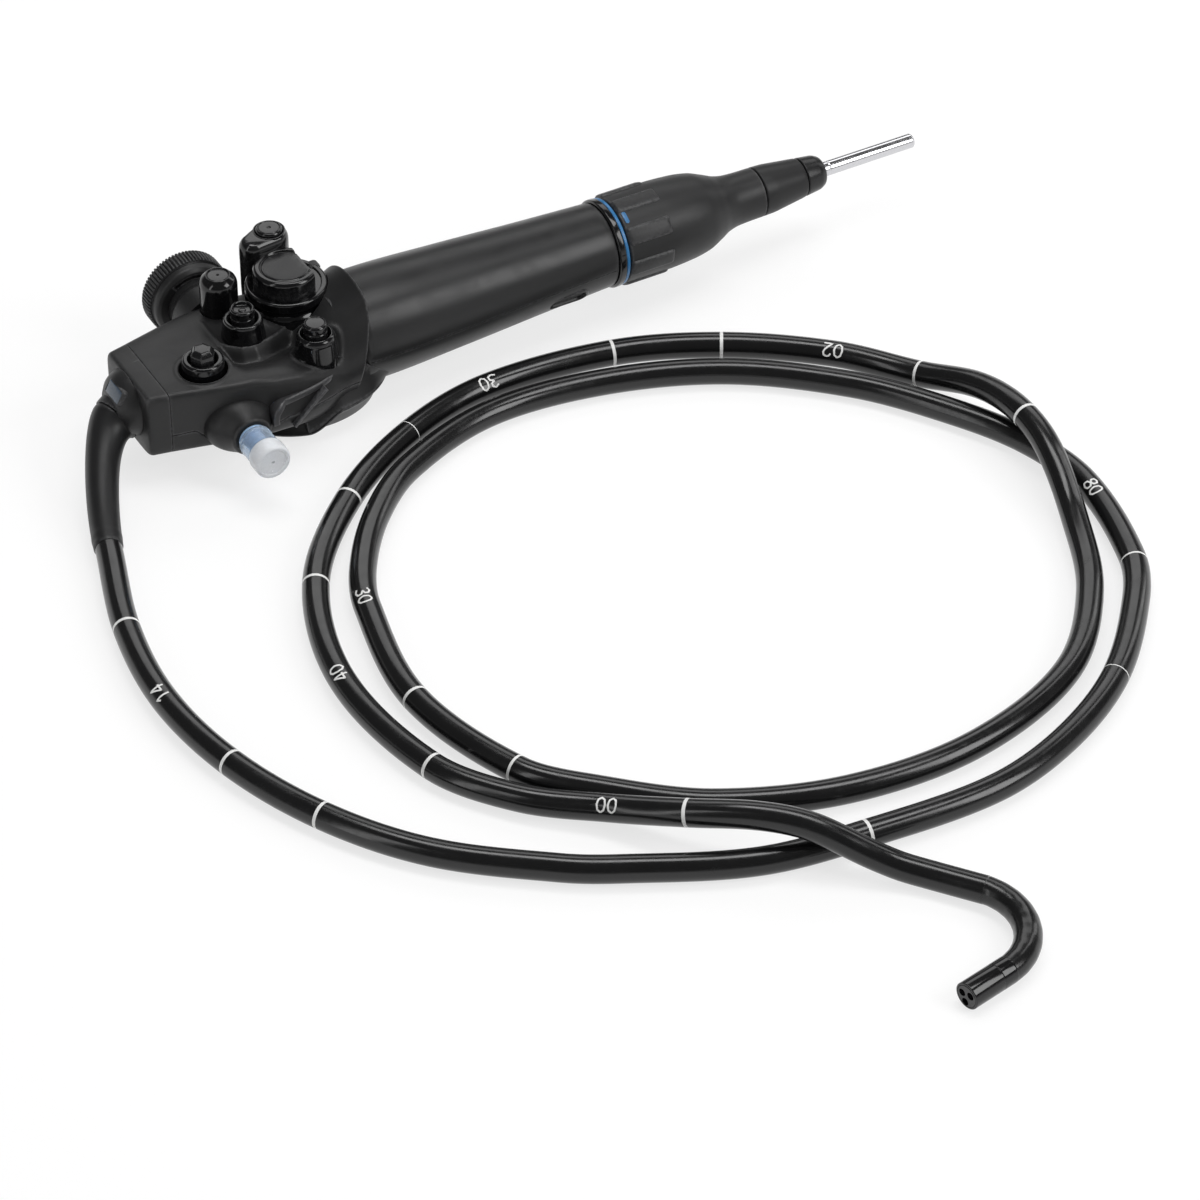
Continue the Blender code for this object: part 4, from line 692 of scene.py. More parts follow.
def make_shell(name, upper, count):
    """One of the head's half shells, as a wall between its skin and a plain inner face."""
    start, wall = 8.16, 7.0
    stops = [(start, -0.1), (start + 0.12, 0.0)] + [(x, 0.0) for x in np.arange(start + 0.9, 86.2, 0.55)]
    stops += [(86.4, 0.0), (86.8, -0.15), (87.0, -0.55)]
    rings = []
    for x, grow in stops:
        y, z = arc_of(x, upper, grow, count)
        outer = placed(x, y, z)
        for end in (0, -1):
            outer[end] += (0, -0.22 * np.sign(outer[end][1]), 0.0)
        y, z = arc_of(x, upper, -wall, count)
        rings.append(np.concatenate((outer, placed(x, y, z, False)[::-1])))
    total, sides = len(rings), 2 * count
    faces = bands(total, sides) + wall_end(0, sides) + wall_end((total - 1) * sides, sides)
    return solid(name, np.array(rings).reshape(-1, 3), faces, SHELL, 42)


def make_head():
    """The half shells with their round pockets, the hex button's well, and the end cap."""
    upper = make_shell("head_upper", True, 190)
    for radius, at, low in ((8.95, HEX_AT, 6.0), (7.3, DOME_AT, 5.8), (15.25, VALVE_AT, 2.0)):
        carve(upper, turned("cut", [(radius, low), (radius, 40)], SHELL, (*at, 0), sides=128, size=0),
              sharp=42)
    fix(upper, "handle", "shell", "upper_shell")
    fix(make_shell("head_lower", False, 110), "handle", "shell", "lower_shell")
    floor = [(8.9, 0.0, 0.0), (9.3, 0.12, 0.1), (9.45, 0.5, 0.1), (9.2, 0.62, 0.1), (8.85, 0.35, 0.1),
             (8.7, -1.8, 0.1), (8.9, -1.8, 0)]
    fix(turned("hex_rim", floor, SHELL, (*HEX_AT, HEAD_TOP - 0.05), closed=True, size=0.15), "handle",
        "shell")
    fix(turned("hex_floor", [(8.95, 4.6), (8.95, 6.9), (7.0, 6.9)], SHELL, (*HEX_AT, 0)), "handle", "shell")
    # End cap: a rounded cup with a small groove against the shells.
    rings = []
    for x, grow in ((8.0, -0.1), (7.88, 0.0), (7.2, 0.0), (4.5, 0.0), (1.7, 0.0), (1.0, -0.12), (0.5, -0.38),
                    (0.15, -0.8), (0.0, -1.4), (0.0, -6.0)):
        y, z = head_section(x, grow, 320)
        rings.append(np.stack((np.full_like(y, x), y, z), axis=-1))
    fix(loft("end_cap", rings, SHELL), "handle", "shell", "head_end_cap")


def bezier(one, aim_one, two, aim_two, pulls, shares):
    """Points at the given shares of a curve from one place and direction to another."""
    a, d = np.array(one, float), np.array(two, float)
    b = a + np.array(aim_one) / np.linalg.norm(aim_one) * pulls[0]
    c = d - np.array(aim_two) / np.linalg.norm(aim_two) * pulls[1]
    s = np.asarray(shares)[:, None]
    return a * (1 - s) ** 3 + b * 3 * (1 - s) ** 2 * s + c * 3 * (1 - s) * s ** 2 + d * s ** 3


def block(name, at, size, turn, material, corner=0.0, steps=3):
    """A box with rounded edges, centred at a place and turned about Y."""
    shape = bmesh.new()
    bmesh.ops.create_cube(shape, size=1.0)
    bmesh.ops.scale(shape, vec=size, verts=shape.verts)
    if corner:
        bmesh.ops.bevel(shape, geom=shape.edges[:], offset=corner, segments=steps, affect="EDGES",
                        profile=0.5)
    points = np.array([v.co for v in shape.verts])
    faces = [tuple(v.index for v in f.verts) for f in shape.faces]
    shape.free()
    c, s = math.cos(turn), math.sin(turn)
    points = np.stack((c * points[:, 0] + s * points[:, 2], points[:, 1],
                       -s * points[:, 0] + c * points[:, 2]), axis=1)
    return solid(name, points + np.array(at), faces, material)


def make_gland():
    """The flare and neck where the tube leaves the head, the smoked window and the boot."""
    start, aim, end_aim = (-6.0, -0.9, -5.6), (-0.896, -0.291, -0.336), BOOT_END_AIM
    body = turned("gland_flare", [(6.2, -4), (6.2, 0.2), (12.6, 0.0, 0.2), (12.3, 0.9, 0.8), (11.6, 2.6, 1.2),
                                  (10.2, 4.8, 1.6), (7.0, 7.0, 1.5)], SHELL, (0, 0, 0), "-x")
    unit = np.array(aim) / np.linalg.norm(aim)
    neck = [np.array(start) - unit * d for d in (8.0, 4.0, 1.2, 0.35, 0.3)]
    neck = sweep("gland_neck", neck, [9.5, 9.4, 9.3, 9.2, 8.8], SHELL, ends=(aim, aim))
    lean = math.radians(28)
    outward = np.array((-math.cos(lean), 0, math.sin(lean)))
    at = np.array((-5.2, -1.6, 7.3))
    frame_block = block("window_frame", at - outward * 0.7, (3.4, 11.6, 6.6), lean, SHELL, 1.5, 4)
    for piece in (body, neck, frame_block):
        carve(piece, block("pocket", at + outward * 3.0, (6.4, 10.0, 5.2), lean, SHELL, 1.2, 4))
    fix(body, "handle", "shell", "gland_body")
    fix(neck, "handle", "shell")
    fix(frame_block, "handle", "shell")
    pane = block("window_pane", at + outward * 0.3, (1.2, 10.1, 5.3), lean, WINDOW, 0.5, 3)
    fix(pane, "handle", "window", "gland_window")
    shares = np.linspace(0, 1, 64)
    path = bezier(start, aim, BOOT_END, end_aim, (9.7, 19.7), shares)
    radii = smooth((0, 0.2, 0.4, 0.6, 0.8, 1), (9.0, 7.2, 6.3, 5.9, 5.6, 5.3), shares)
    radii[:3] -= (0.45, 0.12, 0.0)
    radii[-3:] -= (0.0, 0.0, 0.35)
    radii[-8:-3] += 0.12 * np.sin(np.linspace(0, math.pi, 5))
    fix(sweep("boot_skin", path, radii, RUBBER, 72, (aim, end_aim)), "handle", "rubber", "tube_boot")


def make_buttons():
    """Three sleeves with their caps, and the dome, each from radius and height corners."""
    top = HEAD_TOP
    fix(turned("hex_collar", [(4.9, top - 6.5), (9.4, top - 6.5), (9.4, top - 3.9, 0.3),
                              (7.7, top - 3.7, 0.3), (7.6, top + 1.5, 0.2), (7.75, top + 2.0, 0.2),
                              (7.55, top + 4.4, 0.5), (6.9, top + 5.0, 0.4), (5.6, top + 5.0, 0.3),
                              (5.0, top + 3.6, 0.2)], GLOSS, (*HEX_AT, 0), closed=True, size=0.1),
        "handle", "gloss", "hex_sleeve")
    make_hex_button(top)
    x, y = RING_AT
    fix(turned("ring_collar", [(4.9, top + 2), (3.0, top + 1), (3.0, top - 8), (8.3, top - 8),
                               (8.1, top + 0.6, 0.5), (7.3, top + 5.2, 0.6), (7.25, top + 6.9, 0.3),
                               (6.9, top + 7.9, 0.5), (5.8, top + 8.0, 0.4),
                               (5.0, top + 6.9, 0.2)], GLOSS, (x, y, 0), closed=True, size=0.1),
        "handle", "gloss", "ring_sleeve")
    fix(turned("ring_cap", [(4.4, top + 5.5), (4.42, top + 8.8, 0.1), (4.2, top + 9.0, 0.1),
                            (4.42, top + 9.2, 0.1), (4.45, top + 12.0, 0.4), (3.9, top + 12.5, 0.3),
                            (3.4, top + 12.3, 0.2), (3.1, top + 11.2, 0.3), (1.4, top + 10.9, 0.3),
                            (1.1, top + 11.3, 0.2), (0.3, top + 11.4)], GLOSS, (x, y, 0), size=0.2),
        "ring_push", "gloss", "ring_button")
    low = top - 4.0
    x, y = FRONT_AT
    fix(turned("front_collar", [(4.9, low + 3), (3.0, low + 2.8), (3.0, low - 9), (8.3, low - 9),
                                (8.05, low - 1, 0.6), (7.2, low + 5.8, 0.8), (7.3, low + 6.5, 0.3),
                                (6.8, low + 7.8, 0.5), (5.8, low + 8.6, 0.4),
                                (5.0, low + 7.4, 0.2)], GLOSS, (x, y, 0), closed=True, size=0.1),
        "handle", "gloss", "front_sleeve")
    fix(turned("front_cap", [(4.4, low + 6), (4.42, low + 9.4, 0.1), (4.15, low + 9.7, 0.1),
                             (4.15, low + 10.0, 0.1), (4.45, low + 10.3, 0.1), (4.45, low + 12.3, 0.6),
                             (3.75, low + 12.95, 0.2), (3.55, low + 12.6, 0.1), (3.3, low + 12.9, 0.2),
                             (0.3, low + 13.0)], GLOSS, (x, y, 0), size=0.2),
        "front_push", "gloss", "front_button")
    fix(turned("dome_cap", [(5.6, top - 2.5), (7.0, top - 2.5), (7.0, top + 12.0, 1.2),
                            (6.3, top + 13.8, 1.2), (4.5, top + 15.4, 0.5), (4.15, top + 15.35, 0.2),
                            (4.0, top + 14.85, 0.15), (3.7, top + 15.1, 0.2), (0.4, top + 15.25),
                            (0.4, top + 13.0), (5.6, top + 12.0)],
               GLOSS, (*DOME_AT, 0), closed=True, size=0.3), "dome_push", "gloss", "dome_button")


def make_hex_button(top):
    """A six-sided cap with rounded corners, its top crowned inwards over a bevel."""
    angles = np.arange(144) * TAU / 144
    share = np.abs((angles / (TAU / 6) + 0.5) % 1 - 0.5) * TAU / 6
    flat = 4.75 * math.sqrt(3) / 2 / np.cos(TAU / 12 - share)
    rings = []
    for grow, h, round_share in ((0, top - 1.5, 0.12), (0, top + 7.2, 0.12), (-0.1, top + 7.45, 0.12),
                                 (-1.05, top + 8.85, 0.14), (-1.25, top + 9.05, 0.18),
                                 (-1.6, top + 9.15, 0.25), (-2.2, top + 9.2, 0.4)):
        radius = np.minimum(flat, 4.72) * (1 - round_share) + 4.3 * round_share + grow
        rings.append(np.stack((HEX_AT[0] + radius * np.cos(angles), HEX_AT[1] + radius * np.sin(angles),
                               np.full_like(angles, h)), axis=-1))
    fix(loft("hex_cap", rings, GLOSS, sharp=50), "hex_push", "gloss", "hex_button")


def make_valve():
    """The drum with its cut-off lid, the elbow beside it with the suction button, and the clip behind."""
    top = HEAD_TOP
    ring_low, ring_high, cap_high = top + 2.5, top + 7, top + 14
    one, two = (65.5, 28.5), (73.3, 30.9)
    base = turned("valve_drum", [(15.1, top - 10), (15.1, top - 0.2, 0.5), (14.0, top + 0.9, 0.5),
                                 (14.0, ring_low - 0.2, 0.5), (15.1, ring_low + 0.9, 0.6),
                                 (15.1, ring_high - 0.5, 0.7), (14.3, ring_high, 0.4),
                                 (13.0, ring_high - 0.1, 0.2), (12.6, ring_high - 0.7)], GLOSS,
                  (*VALVE_AT, 0), sides=160)
    carve(base, turned("cut", [(5.5, 0), (5.5, 30)], GLOSS, (*one, 0), size=0))
    fix(base, "handle", "gloss", "valve_base")
    cap = turned("valve_lid", [(12.1, ring_high - 0.6), (12.1, cap_high - 1.1, 1.0), (11.2, cap_high, 0.6),
                               (9.6, cap_high + 0.05, 0.3), (9.15, cap_high - 0.8, 0.35),
                               (8.7, cap_high - 0.45, 0.3), (8.0, cap_high - 0.35, 0.3),
                               (3.0, cap_high - 0.3)], GLOSS, (*VALVE_AT, 0), sides=160)
    carve(cap, block("cut", (88, VALVE_AT[1], cap_high), (20, 40, 20), 0, GLOSS, 0.5, 3))
    fix(cap, "handle", "gloss")
    plate = turned("lid_plate", [(8.3, cap_high - 0.6), (8.3, cap_high - 0.25, 0.1), (4.0, cap_high - 0.2)],
                   SATIN, (*VALVE_AT, 0), sides=128)
    carve(plate, block("cut", (87.2, VALVE_AT[1], cap_high), (20, 40, 20), 0, GLOSS, 0.5, 3))
    fix(plate, "handle", "gloss")
    low, high = cap_high - 4, cap_high + 4
    profile = [(-0.9, low), (-0.3, low + 0.1), (0.0, low + 0.4), (0.0, high - 3.4), (-0.1, high - 2.5),
               (-0.35, high - 1.7), (-0.75, high - 0.9), (-1.2, high - 0.3), (-1.6, high)]
    rings = [np.column_stack((pill(one, two, 5.2 + g, 7.0 + g), np.full(50, h))) for g, h in profile]
    arm = loft("elbow_arm", rings, GLOSS, sharp=50)
    carve(arm, turned("cut", [(5.35, high - 3), (5.35, high + 3)], GLOSS, (*two, 0), size=0))
    fix(arm, "handle", "gloss", "suction_elbow")
    fix(turned("elbow_column", [(5.0, top - 8), (5.15, top - 2), (5.15, low + 3)], GLOSS, (*one, 0)),
        "handle", "gloss")
    fix(turned("elbow_rim", [(5.3, high - 1.0), (6.0, high - 0.6, 0.2), (5.9, high + 0.25, 0.2),
                             (5.4, high + 0.2, 0.2)], GLOSS, (*two, 0), closed=True, size=0.15),
        "handle", "gloss")
    fix(turned("suction_cap", [(4.9, high - 1.6), (4.95, high + 0.6, 0.3), (4.5, high + 1.2, 0.3),
                               (4.1, high + 1.3, 0.1), (3.9, high + 1.05, 0.1), (3.7, high + 1.3, 0.1),
                               (0.75, high + 1.32, 0.1), (0.45, high + 0.9, 0.1),
                               (0.1, high + 0.85)], GLOSS, (*two, 0), size=0.2),
        "suction_push", "gloss", "suction_button")
    fix(block("clip_block", (84.6, 18.7, 15.6), (4.6, 5.2, 7.0), 0, SHELL, 1.6, 5), "handle", "shell",
        "back_clip")


def rib_tree():
    """Copies of one rib, evenly spaced on a ring about Z, then turned and moved into place."""
    tree = bpy.data.node_groups.new("ring_of_ribs", "GeometryNodeTree")
    tree.interface.new_socket("Geometry", in_out="OUTPUT", socket_type="NodeSocketGeometry")
    for label, kind in (("Count", "Int"), ("Radius", "Float"), ("Rib", "Object"), ("Place", "Vector"),
                        ("Turn", "Vector"), ("Surface", "Material")):
        tree.interface.new_socket(label, in_out="INPUT", socket_type="NodeSocket" + kind)
    given = tree.nodes.new("NodeGroupInput").outputs
    circle = node(tree, "GeometryNodeMeshCircle", {"Vertices": given["Count"], "Radius": given["Radius"]})
    number = node(tree, "GeometryNodeInputIndex").outputs[0]
    step = math_node(tree, "DIVIDE", TAU, given["Count"])
    angle = math_node(tree, "MULTIPLY", number, step)
    spin = node(tree, "ShaderNodeCombineXYZ", {"Z": angle}).outputs[0]
    rib = node(tree, "GeometryNodeObjectInfo", {"Object": given["Rib"]})
    copies = node(tree, "GeometryNodeInstanceOnPoints", {
        "Points": circle.outputs["Mesh"], "Instance": rib.outputs["Geometry"], "Rotation": spin})
    real = node(tree, "GeometryNodeRealizeInstances", {0: copies.outputs[0]})
    moved = node(tree, "GeometryNodeTransform", {"Geometry": real.outputs[0], "Translation": given["Place"],
                                                 "Rotation": given["Turn"]})
    faced = node(tree, "GeometryNodeSetMaterial", {"Geometry": moved.outputs[0],
                                                   "Material": given["Surface"]})
    tree.links.new(faced.outputs[0], tree.nodes.new("NodeGroupOutput").inputs[0])
    return tree


RIBS = rib_tree()


def ring_of_ribs(name, rib, count, radius, place, turn, material):
    """A plain mesh of the rib's copies. The rib itself is used up."""
    holder = bpy.data.objects.new(name, bpy.data.meshes.new(name))
    bpy.context.scene.collection.objects.link(holder)
    step = holder.modifiers.new("ribs", "NODES")
    step.node_group = RIBS
    values = {"Count": count, "Radius": radius * MM, "Rib": rib, "Surface": material, "Turn": turn,
              "Place": [float(v) for v in (np.array(place) + ORIGIN) * MM]}
    for socket in RIBS.interface.items_tree:
        if socket.name in values:
            step[socket.identifier] = values[socket.name]
    bpy.context.view_layer.update()
    shade(bake(holder), 50)
    bpy.data.objects.remove(rib)
    return holder


def loose(points, faces):
    """A rib at the origin, for copying; its points are already around zero, in millimetres."""
    return bare("rib", (np.asarray(points, float) * MM).tolist(), faces)


def rod(length, outline, shrink):
    """A straight rib along Z, with its ends drawn in."""
    points = [(u * (share if u > 0 else 1), v, z) for z, share in (
        (0, shrink), (0.12 * length, 1.0), (0.88 * length, 1.0), (length, shrink)) for u, v in outline]
    sides = len(outline)
    return loose(points, bands(4, sides) + [tuple(range(sides)), tuple(range(3 * sides, 4 * sides))])


def make_wheel():
    """The hub and the brake with its slot, then the thumb wheel with its ribs and screw."""
    x, h = 45.5, 2.0
    at = (x, 0, h)
    fix(turned("wheel_hub", [(4.4, 24), (12.0, 24), (12.0, 33.0, 0.8), (10.6, 35.6, 0.5), (10.6, 38.5, 0.1),
                             (4.4, 38.5)], SHELL, at, "y", closed=True, size=0.05),
        "handle", "shell", "hub_housing")
    brake = turned("brake_plate", [(4.4, 38.6), (13.4, 38.6, 0.3), (15.0, 39.8, 0.8), (15.2, 42.3, 0.2),
                                   (4.4, 42.3)], SHELL, at, "y", closed=True, size=0.05, sides=128)
    slot = np.radians(np.linspace(73, 127, 30))
    outline = [(r * math.cos(a), r * math.sin(a))
               for r, angles in ((11.0, slot), (12.3, slot[::-1])) for a in angles]
    carve(brake, loft("cut", [[(x + px, y, h + py) for px, py in outline] for y in (36, 40.2)], SHELL))
    fix(brake, "handle", "shell", "brake_disc")
    low = 42.6
    wheel = turned("wheel_rim", [(4.3, low), (14.9, low, 0.3), (15.7, low + 0.8, 0.4), (15.8, low + 6.8, 0.4),
                                 (14.9, low + 7.6, 0.5), (13.4, low + 7.55, 0.3), (12.8, low + 5.6, 0.5),
                                 (7.0, low + 5.2, 0.4), (6.6, low + 7.6, 0.3),
                                 (4.3, low + 7.6)], RUBBER, at, "y", closed=True, size=0.05, sides=144)
    fix(wheel, "wheel", "rubber", "angulation_wheel")
    outline = [(-0.7, -0.42), (0.35, -0.40), (0.62, -0.2), (0.62, 0.2), (0.35, 0.40), (-0.7, 0.42)]
    ribs = ring_of_ribs("wheel_ribs", rod(6.9, outline, 0.3), 72, 15.75, (x, low + 0.35, h),
                        (-math.pi / 2, 0, 0), RUBBER)
    fix(ribs, "wheel", "rubber")
    fix(turned("wheel_cap_screw", [(5.2, low + 7.5), (5.2, low + 8.9, 0.3), (4.6, low + 9.4, 0.3),
                                   (1.6, low + 9.45, 0.2), (1.5, low + 8.4, 0.1),
                                   (0.2, low + 8.3)], STEEL, at, "y", size=0.2), "wheel", "steel",
        "wheel_screw")


def make_port():
    """The flared boss on the near side, its nozzle, and the frosted cap with a clearer skirt."""
    x, h = 32.5, -5.5
    heights = np.array((20.0, 24.0, 26.0, 28.0, 30.5, 32.8, 33.9, 34.3))
    wide = np.array((13.6, 13.3, 12.7, 11.6, 9.4, 7.9, 7.5, 7.0))
    tall = np.array((11.1, 10.9, 10.5, 9.8, 8.7, 7.8, 7.5, 7.0))
    angles = np.arange(96) * TAU / 96
    stops = [(at, smooth(heights, wide, at), smooth(heights, tall, at))
             for at in (*np.linspace(20, 33.6, 30), 33.9, 34.15, 34.3)]
    rings = []
    for at, half_wide, half_tall in stops + [(34.3, 6.4, 6.4), (34.0, 3.0, 3.0)]:
        rise = np.maximum(half_tall * np.sin(angles), -9.6)
        rings.append(np.stack((x + half_wide * np.cos(angles), np.full_like(angles, -at), h + rise), axis=-1))
    fix(loft("port_flare", rings, SHELL), "handle", "shell", "port_boss")
    face = 34.3
    fix(turned("nozzle", [(1.9, face), (5.6, face + 0.2), (5.6, face + 1.2, 0.2), (3.7, face + 1.6, 0.2),
                          (3.3, face + 3, 0.2), (3.7, face + 4, 0.2), (3.3, face + 5, 0.2),
                          (3.6, face + 6, 0.2), (3.2, face + 7.4, 0.2),
                          (1.9, face + 7.4)], NOZZLE, (x, 0, h), "-y", closed=True, size=0.1, sides=64),
        "handle", "steel", "port_nozzle")
    low = face + 1.8
    cap = turned("frosted_cap", [(3.95, low), (6.3, low, 0.3), (6.55, low + 1.6, 0.3), (6.35, low + 2.2, 0.3),
                                 (6.35, low + 8.0, 0.3), (6.9, low + 9.2, 0.4), (6.9, low + 14.2, 0.6),
                                 (6.2, low + 15.2, 0.4), (5.2, low + 15.15, 0.3), (4.9, low + 14.5, 0.2),
                                 (0.9, low + 14.45, 0.2), (0.55, low + 14.7, 0.1), (0.5, low + 12.6, 0.2),
                                 (5.4, low + 12.3, 0.3), (5.4, low + 9.6, 0.3), (3.95, low + 8.4, 0.2)],
                 CLEAR, (x, 0, h), "-y", closed=True, size=0.2)
    cap.data.materials.append(SKIRT)
    skirt_end = (ORIGIN[1] - low - 8.3) * MM
    for polygon in cap.data.polygons:
        if polygon.center[1] > skirt_end:
            polygon.material_index = 1
    fix(cap, "cap", "clear", "port_cap")


def make_foot():
    """The foot's drawn-in wall, and the panels that run from its rim up to the grip."""
    rim_x, rim_h = (40, 50, 60, 74, 90, 103), (4.0, 4.0, 4.0, 11.0, 11.5, 13.5)
    # Half length, half width, height, and how much of the rim's height is added.
    sections = ((24.6, 17.4, 0.0, 0.0), (25.6, 18.4, 0.05, 0.0), (26.4, 19.2, 0.4, 0.0),
                (28.6, 21.9, 0.2, 0.5), (31.4, 25.7, -0.9, 1.0), (31.75, 26.1, -0.55, 1.0),
                (31.7, 26.05, -0.15, 1.0), (31.2, 25.65, 0.0, 1.0), (29.6, 24.3, 0.9, 1.0),
                (28.3, 23.2, 2.6, 1.0), (27.2, 22.4, 5.0, 1.0), (26.4, 21.8, 8.5, 1.0),
                (26.0, 21.4, 12.0, 1.0))
    angles = np.arange(180) * TAU / 180
    rings = []
    for long, wide, height, share in sections:
        px, py = 71 + long * np.cos(angles), 1 + wide * np.sin(angles)
        rings.append(np.stack((px, py, height + share * smooth(rim_x, rim_h, px) - AXIS), axis=-1))
    fix(loft("foot_skin", rings, SHELL, sharp=50), "handle", "shell", "support_foot")
    # The hollow side between the grip and the foot's rim, on the near side and, mirrored, on the far side.
    for name, way in (("foot_panel_near", -1), ("foot_panel_far", 1)):
        rings = []
        for px in np.linspace(60, 95.5, 60):
            rim = way + 25.7 * math.sqrt(1 - ((px - 71) / 31.75) ** 2)
            low = float(smooth(rim_x, rim_h, px)) - 0.3 - AXIS
            high = max(low + 0.5, float(smooth(CREASE[:, 0], CREASE[:, 1], px)))
            skin = 21.05 + 1.3 * (1 - float(ease(px, 74, 84)))
            edge = math.sqrt(skin ** 2 - high ** 2)
            share = np.linspace(0, 1, 16)
            depth = 2.6 * float(ease(-px, -96, -86)) * (high - low) / 20
            across = edge + (rim - edge) * share ** 1.6 - depth * np.sin(math.pi * share ** 0.8)
            outer = [(px, way * a, r) for a, r in zip(across, high + (low - high) * share)]
            rings.append(outer + [(px, way * (rim - 5), low), (px, way * min(edge - 4, 14.0), high)])
        fix(loft(name, rings, SHELL, sharp=50), "handle", "shell")


def bar(name, path, size, material, inward=0.0):
    """A flat-sided bar with rounded edges along a path in x and h, which may lean inwards to its end.

    Size is depth in y, thickness, and y.
    """
    path = np.asarray(path, float)
    way = np.gradient(path, axis=0)
    way /= np.linalg.norm(way, axis=1)[:, None]
    out = np.stack((-way[:, 1], way[:, 0]), axis=1)
    depth, thick, y = size
    outline = rounded([(-depth / 2, -thick / 2), (depth / 2, -thick / 2), (depth / 2, thick / 2),
                       (-depth / 2, thick / 2)], min(depth, thick) * 0.3, True, 4)
    lean = inward * np.linspace(0, 1, len(path)) ** 5
    rings = [[(p[0] + o[0] * v, y + a + u, p[1] + o[1] * v) for u, v in outline]
             for p, o, a in zip(path, out, lean)]
    return loft(name, rings, material)


def make_bracket():
    """The flat-sided bracket on the near side: top bar, strut and side."""
    foot, corner, end = np.array(((43.2, -5.5), (42.6, 1.2), (48.0, 1.35)))
    t = np.linspace(0, 1, 24)[:, None]
    bend = (1 - t) ** 2 * foot + 2 * t * (1 - t) * corner + t ** 2 * end
    level = [(52.0, 1.4), (56.0, 1.4), (60.0, 1.4), (64.0, 1.5), (67.0, 1.6), (69.5, 1.6)]
    top = np.concatenate((bend, level))
    fix(bar("bracket_top", top, (9.6, 2.8, -27.8), BRACKET, 7.4), "handle", "shell", "side_bracket")
    fix(bar("bracket_strut", [(65.0, 0.8), (58.5, -4.6), (51.6, -11.2)], (3.2, 1.2, -28.4), BRACKET),
        "handle", "shell")
    fix(bar("bracket_side", [(44.6, -0.5), (47.6, -5.0), (51.4, -11.2)], (3.0, 1.2, -26.0), SHELL), "handle",
        "shell")


def make_grip():
    """The tapered grip with its vent, the lip round that and the parting groove."""
    start, end = 83.0, 193.5
    xs = (70.0, start, 96.0, 129.4, 164.8, end)
    radii = (21.0, 21.0, 21.0, 19.6, 17.6, 16.2)
    # The first few millimetres stay below the head's flange.
    profile = [(3.4, 80.0), (12.0, 80.0), (16.9, 80.0), (17.6, 82.0), (19.0, 84.5), (20.0, 86.0),
               (20.8, 87.0)]
    profile += [(float(smooth(xs, radii, x)), float(x)) for x in np.linspace(87.6, end - 0.8, 58)]
    profile += [(16.1, end - 0.3), (15.7, end), (7.8, end), (7.8, end - 3), (3.4, end - 3)]
    grip = turned("grip_skin", profile, GRIP, (0, 0, 0), "x", sides=160, closed=True, size=0)
    vent_x = 172.0
    reach = float(smooth(xs, radii, vent_x))
    out, across = radial(209)

    def oval(grow, radius):
        """The vent's outline on a cylinder about the axis."""
        flat = pill((-4.75, 0), (4.75, 0), 2.5 + grow, 2.5 + grow, 20)
        return [np.array((vent_x + u, 0, 0)) + out * (radius - v * v / (2 * reach)) + across * v
                for u, v in flat]

    carve(grip, loft("cut", [oval(0.4, reach + 3), oval(0.4, reach - 0.2), oval(0.15, reach - 0.7),
                             oval(0.1, reach - 2)], GRIP))
    seam_out, seam_across = radial(184.5)
    rings = []
    for x in np.linspace(87.5, 192.5, 50):
        skin = float(smooth(xs, radii, x))
        rings.append([np.array((x, 0, 0)) + seam_out * (skin + deep) + seam_across * wide
                      for deep, wide in ((-0.4, -0.04), (0.6, -0.22), (0.6, 0.22), (-0.4, 0.04))])
    carve(grip, loft("cut", rings, GRIP))
    fix(grip, "handle", "shell", "grip_shell")
    lip = [oval(0.42, reach - 0.5), oval(0.42, reach + 0.1), oval(0.6, reach + 0.28), oval(1.0, reach + 0.26),
           oval(1.6, reach - 0.1), oval(1.6, reach - 0.5)]
    fix(loft("vent_lip", lip, GRIP, closed=True), "handle", "shell")
    vent = [oval(0.25, reach - 2.6), oval(0.25, reach - 1.3), oval(-0.3, reach - 1.05),
            oval(-0.6, reach - 1.3), oval(-1.6, reach - 1.4)]
    fix(loft("vent_pad", vent, SATIN), "handle", "gloss", "grip_vent")


